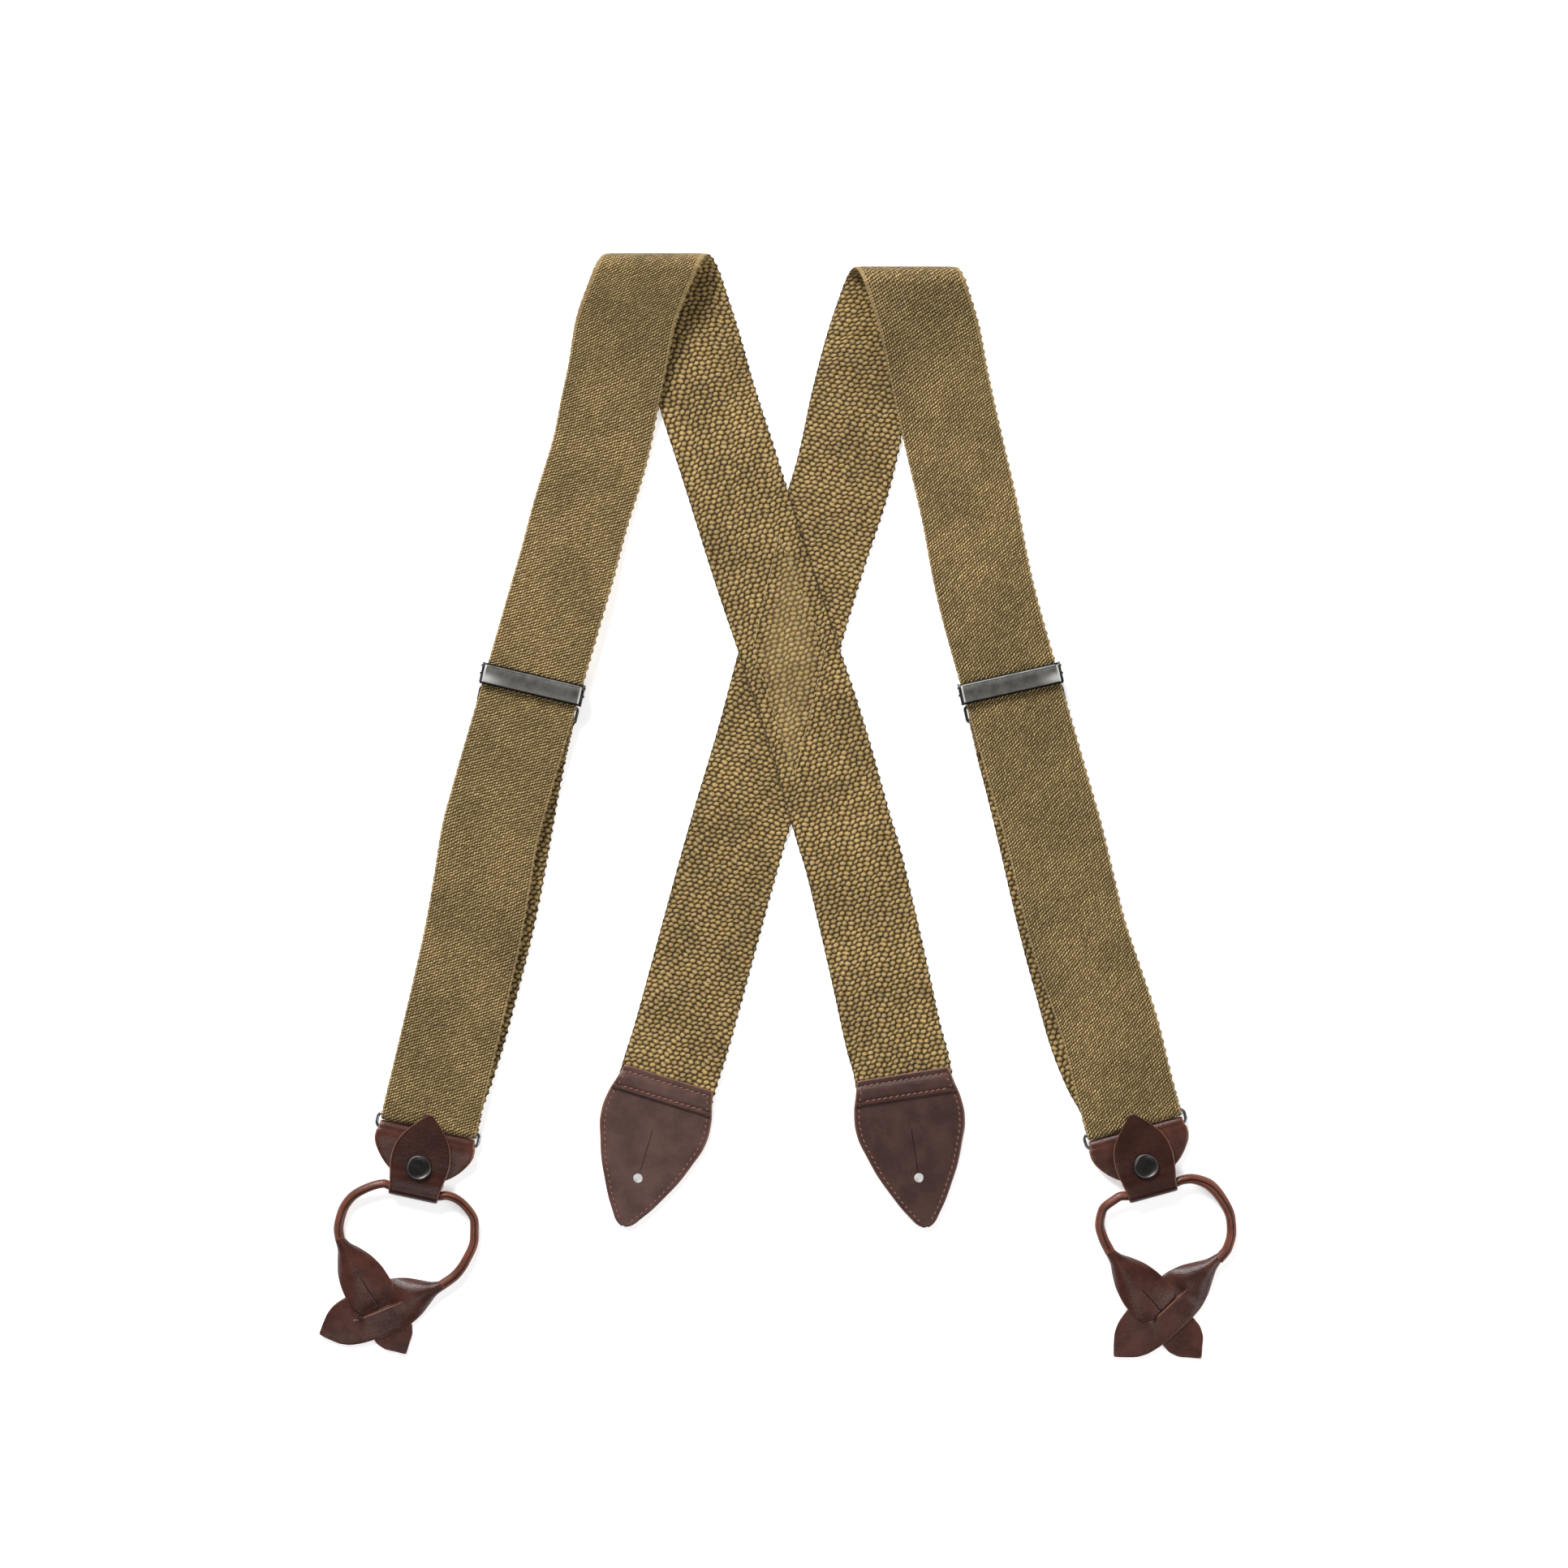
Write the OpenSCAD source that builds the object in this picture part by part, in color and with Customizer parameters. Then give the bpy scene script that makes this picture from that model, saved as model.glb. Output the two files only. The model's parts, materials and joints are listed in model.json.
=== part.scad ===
// Button-on braces: two elastic straps crossing at the back, each with a slide adjuster,
// an oval ring, a leather yoke with a snap tongue, a rolled button loop and a leather back tab.
// Units are millimetres. The braces lie on the z = 0 plane with the shoulders toward +Y.

/* [Webbing] */
// Width of the elastic webbing
webbing_width = 38; // [34:0.5:38.5]
// Thickness of the elastic webbing
webbing_thickness = 1.6; // [1.2:0.1:1.7]
// Radius of the middle of the webbing where it turns over at the shoulder
shoulder_radius = 6.2; // [4:0.1:8]

/* [Adjuster] */
// Height of the cover plate along the strap
cover_height = 8.6; // [7:0.1:10]
// Thickness of the cover plate
cover_thickness = 0.9; // [0.6:0.05:1.2]
// Diameter of the hinge pin
pin_diameter = 1.1; // [0.8:0.05:1.2]
// Diameter of the wire loop at the back of the adjuster
wire_diameter = 1.2; // [1:0.05:1.3]

/* [Ring and yoke] */
// Outer width of the oval ring
ring_width = 42; // [41:0.5:44]
// Diameter of the wire of the oval ring
ring_wire = 1.3; // [1:0.05:1.4]
// Width of the yoke at its widest
yoke_width = 39.5; // [36:0.5:40]
// Length of the yoke below its top edge
yoke_length = 21.5; // [18:0.5:22]
// Diameter of the snap cap
cap_diameter = 9.8; // [8:0.1:12]

/* [Button loop] */
// Diameter of the rolled leather
roll_diameter = 3.6; // [3:0.1:3.7]
// Greatest width of each leaf
leaf_width = 20; // [16:0.5:22]
// Thickness of each leaf
leaf_thickness = 1.5; // [1:0.1:1.8]

/* [Back tab] */
// Length of the back tab
tab_length = 61; // [55:0.5:66]
// Radius of the button hole in the back tab
hole_radius = 1.85; // [1.5:0.05:2.5]

/* [Hidden] */
$fn = 32;
// height of the middle of the webbing where it runs level through the adjuster
level = 5.7;
// height of the middle of the webbing lying on the ground, and lying on the other strap
low = webbing_thickness / 2;
high = low + webbing_thickness + 0.02;
// height of the middle of the webbing where it enters a back tab
tab_level = 1.85;
// height of the middle of the return ply
return_level = 0.95;
// running clearance of a round bar in its bore
running = 0.07;
// across and along position of the cover hinge, in the adjuster's own frame
hinge_y = 3.1;
hinge_z = 8;
// upper and lower bars of the wire loop, in the adjuster's own frame
loop_top = [-4.9, 3.2];
loop_low = [-11, 2.35];
// upper and lower bars of the oval ring, in the clip's own frame
bar_top = 3.8;
bar_low = -1.9;
bar_z = 2.35;
// axis of the rolled leather in the fold of the tongue, in the clip's own frame
roll_y = -23.6;
roll_z = 3.75;
snap_y = -14.2;
// end of the yoke, just short of the fold of the tongue
yoke_end = -20.1;

// where each adjuster, clip and tab sits: x, y, turn
left_adjuster = [-96.2, 47.5, -13.2];
right_adjuster = [91.7, 47.8, 12.6];
left_clip = [-137.6, -128.4, -12.4];
right_clip = [141.1, -128, 15.4];
left_tab = [49.3, -105.4, 9];
right_tab = [-42.6, -106.9, -17.1];

// middle of each strap from the adjuster up to the shoulder: x, y, height, share turned along the fold
left_front = [
    [-96.2, 47.5, level], [-86.2, 82.1, level], [-82.5, 95, 4.7], [-77.9, 113, 2.6],
    [-69.3, 141.8, 1.8], [-66.2, 157, 2.9, 0.2], [-63.2, 170.6, 4.4, 0.5],
    [-59.4, 189.8, 8.2, 0.9], [-51.4, 210, low + 2 * shoulder_radius, 1],
];
right_front = [
    [91.7, 47.8, level], [82.1, 82.5, level], [79.4, 95, 4.7], [76.2, 113, 2.6],
    [69.7, 141.8, 1.8], [66.2, 157, 2.9, 0.2], [63.2, 170.6, 4.6, 0.5],
    [59.7, 187, 8.6, 0.9], [54, 204.8, low + 2 * shoulder_radius, 1],
];

// middle of each strap from the shoulder down the back to its tab
left_back = [
    [-42.7, 210, low, 1], [-35.5, 188, low, 0.9], [-28, 162, low, 0.3], [-20, 137, high],
    [-6.4, 93.8, high], [5, 60, high], [16, 26.6, high], [26.9, -11.8, high],
    [28.9, -18, high], [35, -43, low], [41, -69.4, low], [46.2, -93, 0.95],
    [48.6, -101.5, tab_level], [50.7, -114, tab_level],
];
right_back = [
    [46.2, 204.8, low, 1], [40.2, 188, low, 0.9], [33, 162, low, 0.3], [26.4, 132.2, low],
    [14.2, 93.8, low], [4.3, 60, low], [-4.6, 26.6, low], [-16, -11.8, low],
    [-24, -40.6, low], [-31.8, -69.4, low], [-38.8, -94.5, 0.95],
    [-41.4, -102.5, tab_level], [-45.2, -115.3, tab_level],
];

// middle of the front ply from the ring up to the adjuster
left_lower = [
    [-135.75, -120, 3.8], [-132.8, -107.8, 3.95], [-128.2, -88.6, 4.2], [-123.7, -69.4, 4.5],
    [-119.5, -50.2, 4.8], [-116.1, -31, 5.2], [-113, -11.8, 5.6], [-109, 3.3, level],
    [-96.28, 47.2, level],
];
right_lower = [
    [138.7, -119.3, 3.8], [135.7, -107.8, 3.95], [131, -88.6, 4.2], [124.6, -69.4, 4.5],
    [118.2, -50.2, 4.8], [113.4, -31, 5.2], [108.8, -11.8, 5.6], [104.4, 3.5, level],
    [91.79, 47.5, level],
];

// middle of the return ply from the ring up to its sewn end
left_return = [
    [-135.6, -119.3, return_level], [-134.5, -114.2, return_level],
    [-131.2, -105, return_level], [-126, -88.6, return_level],
    [-120.9, -69.4, return_level], [-116, -50.2, return_level], [-111.9, -31, return_level],
    [-108.4, -11.8, return_level], [-105, 7.4, return_level], [-102, 22.8, return_level],
];
right_return = [
    [138.7, -119.3, return_level], [137.2, -114, return_level],
    [131.8, -104, return_level], [125.6, -88.6, return_level],
    [120.2, -69.4, return_level], [115, -50.2, return_level], [110.4, -31, return_level],
    [106, -11.8, return_level], [101.4, 7.4, return_level], [97.3, 23, return_level],
];

// rolled part of each button loop, from one leaf to the other
left_roll = [
    [-172, -170.8, 1.9], [-172.6, -166.6, 1.9], [-171, -160.2, 2], [-167.5, -154.2, 2.5],
    [-161.4, -150.2, 3.3], [-156.3, -149.2, 3.7],
];
left_roll_end = [
    [-128.6, -155.2, 3.6], [-123.6, -158.9, 2.9], [-120.2, -164.6, 2.1], [-120, -170.1, 1.9],
    [-122.9, -179, 1.9], [-126.8, -184.3, 1.9], [-132.4, -188.9, 1.9],
];
right_roll = [
    [131.2, -175.8, 1.9], [128.2, -169.8, 1.9], [127, -164.8, 2.1], [128.6, -159.6, 2.8],
    [132.8, -155.8, 3.5],
];
right_roll_end = [
    [162.6, -147.2, 3.6], [168.6, -148.8, 3], [174.2, -154.9, 2.2], [177.7, -162.7, 1.9],
    [178, -167.3, 1.9], [176.8, -173.7, 1.9], [173.3, -178.2, 1.9],
];

// leaf ends: start and tip of the leaf that goes through, then of the leaf with the slit
left_leaves = [[-172, -170.8], [-146.2, -215.8], [-132.4, -188.9], [-180.2, -208]];
right_leaves = [[131.2, -175.8], [166.9, -217.5], [173.3, -178.2], [132.6, -216.8]];

// width of a leaf along its length, as shares of its length and of its greatest width
leaf_shape = [
    [0, 0.17], [0.12, 0.3], [0.28, 0.6], [0.45, 0.88], [0.6, 1],
    [0.75, 0.93], [0.87, 0.7], [0.95, 0.42], [1, 0.1],
];

// angle of the line square across a path at one of its points
function cross_angle(p, i) =
    let (a = p[max(i - 1, 0)], b = p[min(i + 1, len(p) - 1)], s = sign(b[1] - a[1]))
    atan2(s * (a[0] - b[0]), s * (b[1] - a[1]));

// rows of a ribbon: x, y, z, angle of the cross line, its width, roll of the face
function rows(p, roll) = [
    for (i = [0:len(p) - 1])
        let (h = cross_angle(p, i), k = len(p[i]) > 3 ? p[i][3] : 0)
        [p[i][0], p[i][1], p[i][2], h * (1 - k), webbing_width / cos(h * k), roll],
];

// rows of the turn over the shoulder, between the front end and the back end
function turn_over(front, back) =
    let (a = front[len(front) - 1], b = back[0], r = shoulder_radius)
    [for (t = [15:15:165])
        [a[0] + (b[0] - a[0]) * t / 180, a[1] + r * sin(t), low + r + r * cos(t),
            0, webbing_width / cos(19), t]];

function corner(s, across, up, t) = [
    s[0] + across * s[4] / 2 * cos(s[3]),
    s[1] + across * s[4] / 2 * sin(s[3]) + up * t / 2 * sin(s[5]),
    s[2] + up * t / 2 * cos(s[5]),
];

// closed band through its rows
module ribbon(s, t) {
    n = len(s);
    points = [for (r = s, c = [[-1, -1], [1, -1], [1, 1], [-1, 1]]) corner(r, c[0], c[1], t)];
    walls = [for (i = [0:n - 2], j = [0:3])
        let (a = 4 * i + j, b = 4 * i + (j + 1) % 4)
        each [[a, b, b + 4], [a, b + 4, a + 4]]];
    e = 4 * n - 4;
    caps = [[3, 2, 1], [3, 1, 0], [e, e + 1, e + 2], [e, e + 2, e + 3]];
    polyhedron(points, concat(walls, caps), convexity = 6);
}

// round bar along a path
module tube(p, r, sides = 20) {
    n = len(p);
    rings = [for (i = [0:n - 1])
        let (d = p[min(i + 1, n - 1)] - p[max(i - 1, 0)],
            t = d / norm(d),
            e = [-t[1], t[0], 0] / norm([t[0], t[1]]),
            f = cross(t, e))
        for (j = [0:sides - 1]) p[i] + r * cos(j * 360 / sides) * e + r * sin(j * 360 / sides) * f];
    walls = [for (i = [0:n - 2], j = [0:sides - 1])
        let (a = sides * i + j, b = sides * i + (j + 1) % sides)
        each [[a, a + sides, b + sides], [a, b + sides, b]]];
    first = [for (j = [0:sides - 1]) j];
    last = [for (j = [0:sides - 1]) sides * n - 1 - j];
    polyhedron(rings, concat(walls, [first, last]), convexity = 6);
}

module at(place) {
    translate([place[0], place[1], 0]) rotate([0, 0, place[2]]) children();
}

// cylinder lying across the strap
module across(r, half, y, z) {
    translate([-half, y, z]) rotate([0, 90, 0]) cylinder(r = r, h = 2 * half);
}

// solid with a side view drawn in y and z, running across the strap
module profile(half) {
    translate([-half, 0, 0]) rotate([90, 0, 90]) linear_extrude(2 * half) children();
}

// closed wire with round corners, its middle plane flat
module wire_frame(half, upper, lower, bend, r) {
    top = upper - bend;
    bottom = lower + bend;
    for (y = [upper, lower]) across(r, half - bend, y, 0);
    for (x = [-half, half])
        translate([x, bottom, 0]) rotate([-90, 0, 0]) cylinder(r = r, h = top - bottom);
    for (c = [[1, top, 0], [-1, top, 90], [-1, bottom, 180], [1, bottom, 270]])
        translate([c[0] * (half - bend), c[1], 0]) rotate([0, 0, c[2]])
            rotate_extrude(angle = 90) translate([bend, 0]) circle(r = r);
}

// row of short stitches from a to b, about one pitch apart
module stitch_row(a, b, pitch, size) {
    n = round(norm(b - a) / pitch);
    for (j = [0:n - 1])
        translate(a + (b - a) * (j + 0.5) / n)
            rotate([0, 0, atan2(b[1] - a[1], b[0] - a[0])])
                cube(size, center = true);
}

module strap(front, back) {
    color("DarkOliveGreen")
        ribbon(concat(rows(front, 0), turn_over(front, back), rows(back, 180)), webbing_thickness);
}

module ply(path) {
    color("OliveDrab") ribbon(rows(path, 0), webbing_thickness);
}

// webbing turned round the upper bar of the ring
module bight() {
    t = webbing_thickness;
    color("OliveDrab") profile(18.2) difference() {
        union() {
            translate([bar_top, bar_z]) circle(r = ring_wire / 2 + t);
            translate([bar_top, return_level - t / 2]) square([4.2, bar_z * 2 - return_level * 2 + t]);
        }
        translate([bar_top + 1.1, return_level + t / 2]) square([4, 2 * (bar_z - return_level) - t]);
        translate([bar_top, bar_z]) circle(r = ring_wire / 2 + running);
    }
}

// end of the webbing turned round the wire loop and sewn down
module sewn_end() {
    t = webbing_thickness;
    color("DarkOliveGreen") profile(18.3) difference() {
        union() {
            translate(loop_low) circle(r = wire_diameter / 2 + t);
            translate([-24, return_level - t / 2]) square([13, 2 * t]);
        }
        translate(loop_low) circle(r = wire_diameter / 2 + 0.05);
    }
}

module end_stitching() {
    z = return_level + webbing_thickness * 1.5;
    color("Olive") for (y = [-15.5, -22])
        stitch_row([-17.55, y, z + 0.15], [17.55, y, z + 0.15], 2.7, [1.9, 0.5, 0.3]);
}

module adjuster_frame() {
    color("DimGray") difference() {
        union() {
            translate([-20.55, -4, 3.8]) cube([41.1, 8, 0.8]);
            for (x = [-20.55, 19.75]) {
                translate([x, -3.4, 3.8]) cube([0.8, 7.9, hinge_z - 3.8]);
                translate([x, hinge_y, hinge_z]) rotate([0, 90, 0]) cylinder(r = 1.4, h = 0.8);
            }
            across(1.35, 18.2, loop_top[0], loop_top[1]);
            for (x = [-21, 20.5]) translate([x, 0, 6.6]) rotate([0, 90, 0]) cylinder(r = 0.5, h = 0.5);
        }
        across(pin_diameter / 2, 22, hinge_y, hinge_z);
        across(wire_diameter / 2 + running, 22, loop_top[0], loop_top[1]);
        translate([-15, -1.5, 3]) cube([30, 3, 3]);
    }
}

module adjuster_cover() {
    h = cover_height / 2;
    color("SlateGray") difference() {
        union() {
            profile(19) intersection() {
                difference() {
                    translate([0.2, -3.7]) circle(r = 13, $fn = 96);
                    translate([0.2, -3.7]) circle(r = 13 - cover_thickness, $fn = 96);
                }
                translate([-h, 0]) square([2 * h, 12]);
            }
            across(1.05, 19, hinge_y, hinge_z);
            translate([-18.5, 1.3, 7.4]) cube([37, 1, 1.2]);
            for (i = [-9:9]) translate([i * 1.95 - 0.5, 1.3, 6.8]) cube([1, 1, 0.7]);
        }
        across(pin_diameter / 2 + 0.06, 22, hinge_y, hinge_z);
    }
}

module hinge_pin() {
    color("Silver") across(pin_diameter / 2, 20.95, hinge_y, hinge_z);
}

module wire_loop() {
    slope = atan2(loop_top[1] - loop_low[1], loop_top[0] - loop_low[0]);
    reach = norm(loop_top - loop_low);
    color("DimGray") translate([0, loop_top[0], loop_top[1]]) rotate([slope, 0, 0])
        wire_frame(19.6, 0, -reach, 1.2, wire_diameter / 2);
}

module oval_ring() {
    color("Silver") translate([0, 0, bar_z])
        wire_frame((ring_width - ring_wire) / 2, bar_top, bar_low, 2, ring_wire / 2);
}

// half ellipse with shoulders cut back for the ends of the ring
module yoke_outline() {
    difference() {
        translate([0, -2]) scale([yoke_width / 2, yoke_length - 2]) circle(r = 1, $fn = 72);
        translate([-30, 1]) square([60, 30]);
        for (x = [-28.2, 18.2]) translate([x, -3]) square([10, 20]);
    }
}

module yoke() {
    color("SaddleBrown") difference() {
        intersection() {
            linear_extrude(8) yoke_outline();
            profile(25) {
                translate([bar_low, bar_z]) circle(r = 1.9);
                polygon([
                    [bar_low, 0.45], [-5, 0.7], [yoke_end, 0.7], [yoke_end, 3.1], [-5.5, 3.1], [bar_low, 4.25],
                ]);
            }
        }
        across(ring_wire / 2 + running, 25, bar_low, bar_z);
        translate([0, snap_y, -1]) cylinder(r = 1.25, h = 8);
    }
}

module tongue_outline() {
    half = [
        [2, 5.6], [6, 0.5], [9.3, -4], [11.2, -7.5], [11.5, -11], [11.5, -14], [10.6, -19],
        [9.75, -24.5], [9.75, -28],
    ];
    polygon(concat([[0, 6.3]], half, [for (i = [len(half) - 1:-1:0]) [-half[i][0], half[i][1]]]));
}

module tongue() {
    color("Sienna") difference() {
        union() {
            intersection() {
                linear_extrude(9) tongue_outline();
                profile(15) polygon([
                    [7, 5.2], [-19.4, 5.2], [-21, 5.6], [roll_y, 5.6], [roll_y, roll_z + 3.3],
                    [-21, 6.9], [-19.4, 6.4], [7, 6.4],
                ]);
            }
            across(3.3, 9.75, roll_y, roll_z);
        }
        across(roll_diameter / 2 + 0.1, 20, roll_y, roll_z);
        translate([0, snap_y, 4]) cylinder(r = 1.15, h = 5);
    }
}

module snap_cap() {
    r = cap_diameter / 2;
    color("DarkSlateGray") translate([0, snap_y, 0]) {
        rotate_extrude($fn = 48) polygon([[0, 6.4], [r, 6.4], [r, 6.9], [r - 0.9, 7.9], [0, 8.1]]);
        translate([0, 0, 5.2]) cylinder(r = 1.1, h = 1.3);
    }
}

module snap_socket() {
    color("Gray") translate([0, snap_y, 0])
        rotate_extrude() polygon([[0, 4.95], [1.9, 4.95], [1.9, 3.7], [3.4, 3.7], [3.4, 5.2], [0, 5.2]]);
}

module snap_stud() {
    color("Silver") translate([0, snap_y, 0])
        rotate_extrude() polygon([
            [0, 3.1], [3.2, 3.1], [3.2, 3.45], [1.4, 3.5], [1.55, 4], [1.2, 4.6], [0, 4.7],
        ]);
}

module snap_post() {
    color("Gray") translate([0, snap_y, 0])
        rotate_extrude() polygon([[0, 0], [3.4, 0], [3.6, 0.3], [3.6, 0.65], [1.2, 0.65], [1.2, 3.1], [0, 3.1]]);
}

// leaf from its start to its tip, with a slit that ends in a small hole
module leaf(a, b, heights) {
    reach = norm(b - a);
    turn = atan2(a[0] - b[0], b[1] - a[1]) + 180;
    difference() {
        ribbon([for (i = [len(leaf_shape) - 1:-1:0])
            let (q = leaf_shape[i][0])
            [a[0] + (b[0] - a[0]) * q, a[1] + (b[1] - a[1]) * q, lookup(q, heights),
                turn, leaf_width * leaf_shape[i][1], 0]], leaf_thickness);
        translate([a[0], a[1], -1]) rotate([0, 0, turn]) {
            translate([-0.3, -34.5, 0]) cube([0.6, 16, 9]);
            translate([0, -34.5, 0]) cylinder(r = 1.2, h = 9);
        }
    }
}

// straight part of the roll inside the fold of the tongue, as points on the ground plan
function straight(c) =
    [for (u = [-10.6, -9, 0, 9, 10.6])
        [c[0] + u * cos(c[2]) - roll_y * sin(c[2]), c[1] + u * sin(c[2]) + roll_y * cos(c[2]), roll_z]];

module button_loop(place, start, end, leaves) {
    color("Peru") {
        tube(concat(start, straight(place), end), roll_diameter / 2);
        leaf(leaves[0], leaves[1], [[0, 1.9], [0.2, 3], [0.42, 3.9], [0.6, 2.2], [0.78, 0.75], [1, 0.75]]);
        leaf(leaves[2], leaves[3], [[0, 1.9], [0.3, 2.2], [0.7, 2.3], [1, 1.7]]);
    }
}

// outline of a back tab below its top edge
module tab_outline() {
    k = tab_length / 61;
    half = [
        [0, 18.1], [6, 19.6], [12, 21.2], [18, 21.8], [23, 21.3],
        [30, 19.1], [38, 16.2], [46, 12.2], [52, 8.8], [57, 5],
    ];
    polygon(concat(
        [for (p = half) [p[1], -p[0] * k]],
        [for (a = [20:20:160]) [3.8 * cos(a), -(57.2 + 3.8 * sin(a)) * k]],
        [for (i = [len(half) - 1:-1:0]) [-half[i][1], -half[i][0] * k]]
    ));
}

module tab_cut() {
    k = tab_length / 61;
    translate([-0.25, -41.5 * k, -1]) cube([0.5, 19.5 * k, 9]);
    translate([0, -41.5 * k, -1]) cylinder(r = hole_radius, h = 9);
}

module tab_face() {
    color("SaddleBrown") difference() {
        intersection() {
            linear_extrude(6) tab_outline();
            profile(25) polygon([
                [1, 2.7], [-10, 2.7], [-14, 1.02], [-70, 1.02], [-70, 2.2], [-14.5, 2.2], [-10.5, 3.8], [1, 3.8],
            ]);
        }
        tab_cut();
    }
}

module tab_lining() {
    color("Sienna") difference() {
        linear_extrude(1) tab_outline();
        tab_cut();
    }
}

// stitches round the edge of a back tab and two rows across its top
module tab_stitching() {
    k = tab_length / 61;
    edge = [
        [17.3, -14.5], [19.7, -19], [18.8, -24.5], [16.9, -31],
        [13.8, -39], [9.4, -47.5], [5.6, -53.5], [0, -57],
    ];
    color("Maroon") {
        for (y = [-2.6, -8.5])
            stitch_row([-16.9, y * k, 3.9], [16.9, y * k, 3.9], 2.6, [1.8, 0.5, 0.2]);
        for (s = [-1, 1], i = [0:len(edge) - 2])
            stitch_row(
                [s * edge[i][0], edge[i][1] * k, 2.3], [s * edge[i + 1][0], edge[i + 1][1] * k, 2.3],
                2.7, [1.9, 0.5, 0.2]);
    }
}

// diamond of stitches where the two straps cross
module crossing_stitching() {
    z = high + webbing_thickness / 2 + 0.15;
    corners = [[-9.5, 61.5, z], [0.5, 106, z], [19, 61.5, z], [7, 12, z]];
    color("Olive") for (i = [0:3])
        stitch_row(corners[i], corners[(i + 1) % 4], 2.8, [2, 0.5, 0.3]);
}

module left_webbing() strap(left_front, left_back);
module left_webbing_front() ply(left_lower);
module left_webbing_return() ply(left_return);
module left_webbing_bight() at(left_clip) bight();
module left_sewn_end() at(left_adjuster) sewn_end();
module left_end_stitching() at(left_adjuster) end_stitching();
module left_adjuster_frame() at(left_adjuster) adjuster_frame();
module left_adjuster_cover() at(left_adjuster) adjuster_cover();
module left_hinge_pin() at(left_adjuster) hinge_pin();
module left_wire_loop() at(left_adjuster) wire_loop();
module left_oval_ring() at(left_clip) oval_ring();
module left_yoke() at(left_clip) yoke();
module left_tongue() at(left_clip) tongue();
module left_snap_cap() at(left_clip) snap_cap();
module left_snap_socket() at(left_clip) snap_socket();
module left_snap_stud() at(left_clip) snap_stud();
module left_snap_post() at(left_clip) snap_post();
module left_button_loop() button_loop(left_clip, left_roll, left_roll_end, left_leaves);
module left_tab_face() at(left_tab) tab_face();
module left_tab_lining() at(left_tab) tab_lining();
module left_tab_stitching() at(left_tab) tab_stitching();

module right_webbing() strap(right_front, right_back);
module right_webbing_front() ply(right_lower);
module right_webbing_return() ply(right_return);
module right_webbing_bight() at(right_clip) bight();
module right_sewn_end() at(right_adjuster) sewn_end();
module right_end_stitching() at(right_adjuster) end_stitching();
module right_adjuster_frame() at(right_adjuster) adjuster_frame();
module right_adjuster_cover() at(right_adjuster) adjuster_cover();
module right_hinge_pin() at(right_adjuster) hinge_pin();
module right_wire_loop() at(right_adjuster) wire_loop();
module right_oval_ring() at(right_clip) oval_ring();
module right_yoke() at(right_clip) yoke();
module right_tongue() at(right_clip) tongue();
module right_snap_cap() at(right_clip) snap_cap();
module right_snap_socket() at(right_clip) snap_socket();
module right_snap_stud() at(right_clip) snap_stud();
module right_snap_post() at(right_clip) snap_post();
module right_button_loop() button_loop(right_clip, right_roll, right_roll_end, right_leaves);
module right_tab_face() at(right_tab) tab_face();
module right_tab_lining() at(right_tab) tab_lining();
module right_tab_stitching() at(right_tab) tab_stitching();

left_webbing();
left_webbing_front();
left_webbing_return();
left_webbing_bight();
left_sewn_end();
left_end_stitching();
left_adjuster_frame();
left_adjuster_cover();
left_hinge_pin();
left_wire_loop();
left_oval_ring();
left_yoke();
left_tongue();
left_snap_cap();
left_snap_socket();
left_snap_stud();
left_snap_post();
left_button_loop();
left_tab_face();
left_tab_lining();
left_tab_stitching();
right_webbing();
right_webbing_front();
right_webbing_return();
right_webbing_bight();
right_sewn_end();
right_end_stitching();
right_adjuster_frame();
right_adjuster_cover();
right_hinge_pin();
right_wire_loop();
right_oval_ring();
right_yoke();
right_tongue();
right_snap_cap();
right_snap_socket();
right_snap_stud();
right_snap_post();
right_button_loop();
right_tab_face();
right_tab_lining();
right_tab_stitching();
crossing_stitching();
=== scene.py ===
"""Button-on braces laid out flat: two elastic straps that cross at the back, each with a slide adjuster, an
oval ring, a leather yoke with a snap tongue, a rolled button loop and a leather back tab. Lengths are in
millimetres until a mesh is made."""
import json
import math

import bpy
import numpy as np
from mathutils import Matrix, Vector


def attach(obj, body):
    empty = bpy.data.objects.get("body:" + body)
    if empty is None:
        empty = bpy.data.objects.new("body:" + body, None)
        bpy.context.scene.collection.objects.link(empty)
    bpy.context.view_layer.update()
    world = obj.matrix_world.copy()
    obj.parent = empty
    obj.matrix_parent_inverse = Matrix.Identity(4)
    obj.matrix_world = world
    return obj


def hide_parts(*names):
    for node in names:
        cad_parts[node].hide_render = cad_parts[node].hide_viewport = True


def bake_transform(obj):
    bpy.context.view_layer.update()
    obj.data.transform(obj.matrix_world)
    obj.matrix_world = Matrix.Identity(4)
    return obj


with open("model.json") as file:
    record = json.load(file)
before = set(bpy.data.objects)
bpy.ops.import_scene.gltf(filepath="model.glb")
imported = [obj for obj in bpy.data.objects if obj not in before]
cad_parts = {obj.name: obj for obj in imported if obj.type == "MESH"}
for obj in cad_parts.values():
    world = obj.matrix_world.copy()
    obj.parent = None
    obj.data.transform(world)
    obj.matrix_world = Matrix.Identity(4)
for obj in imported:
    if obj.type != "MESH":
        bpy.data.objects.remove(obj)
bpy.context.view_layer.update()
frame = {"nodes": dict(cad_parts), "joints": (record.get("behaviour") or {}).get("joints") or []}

SIDES = ("left", "right")
MM = 0.001

# ---------------------------------------------------------------------------------------------------------
# The table the braces lie on: a plain white sweep under three soft boxes and an even sky, seen from
# straight above. None of it belongs to the braces.

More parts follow.
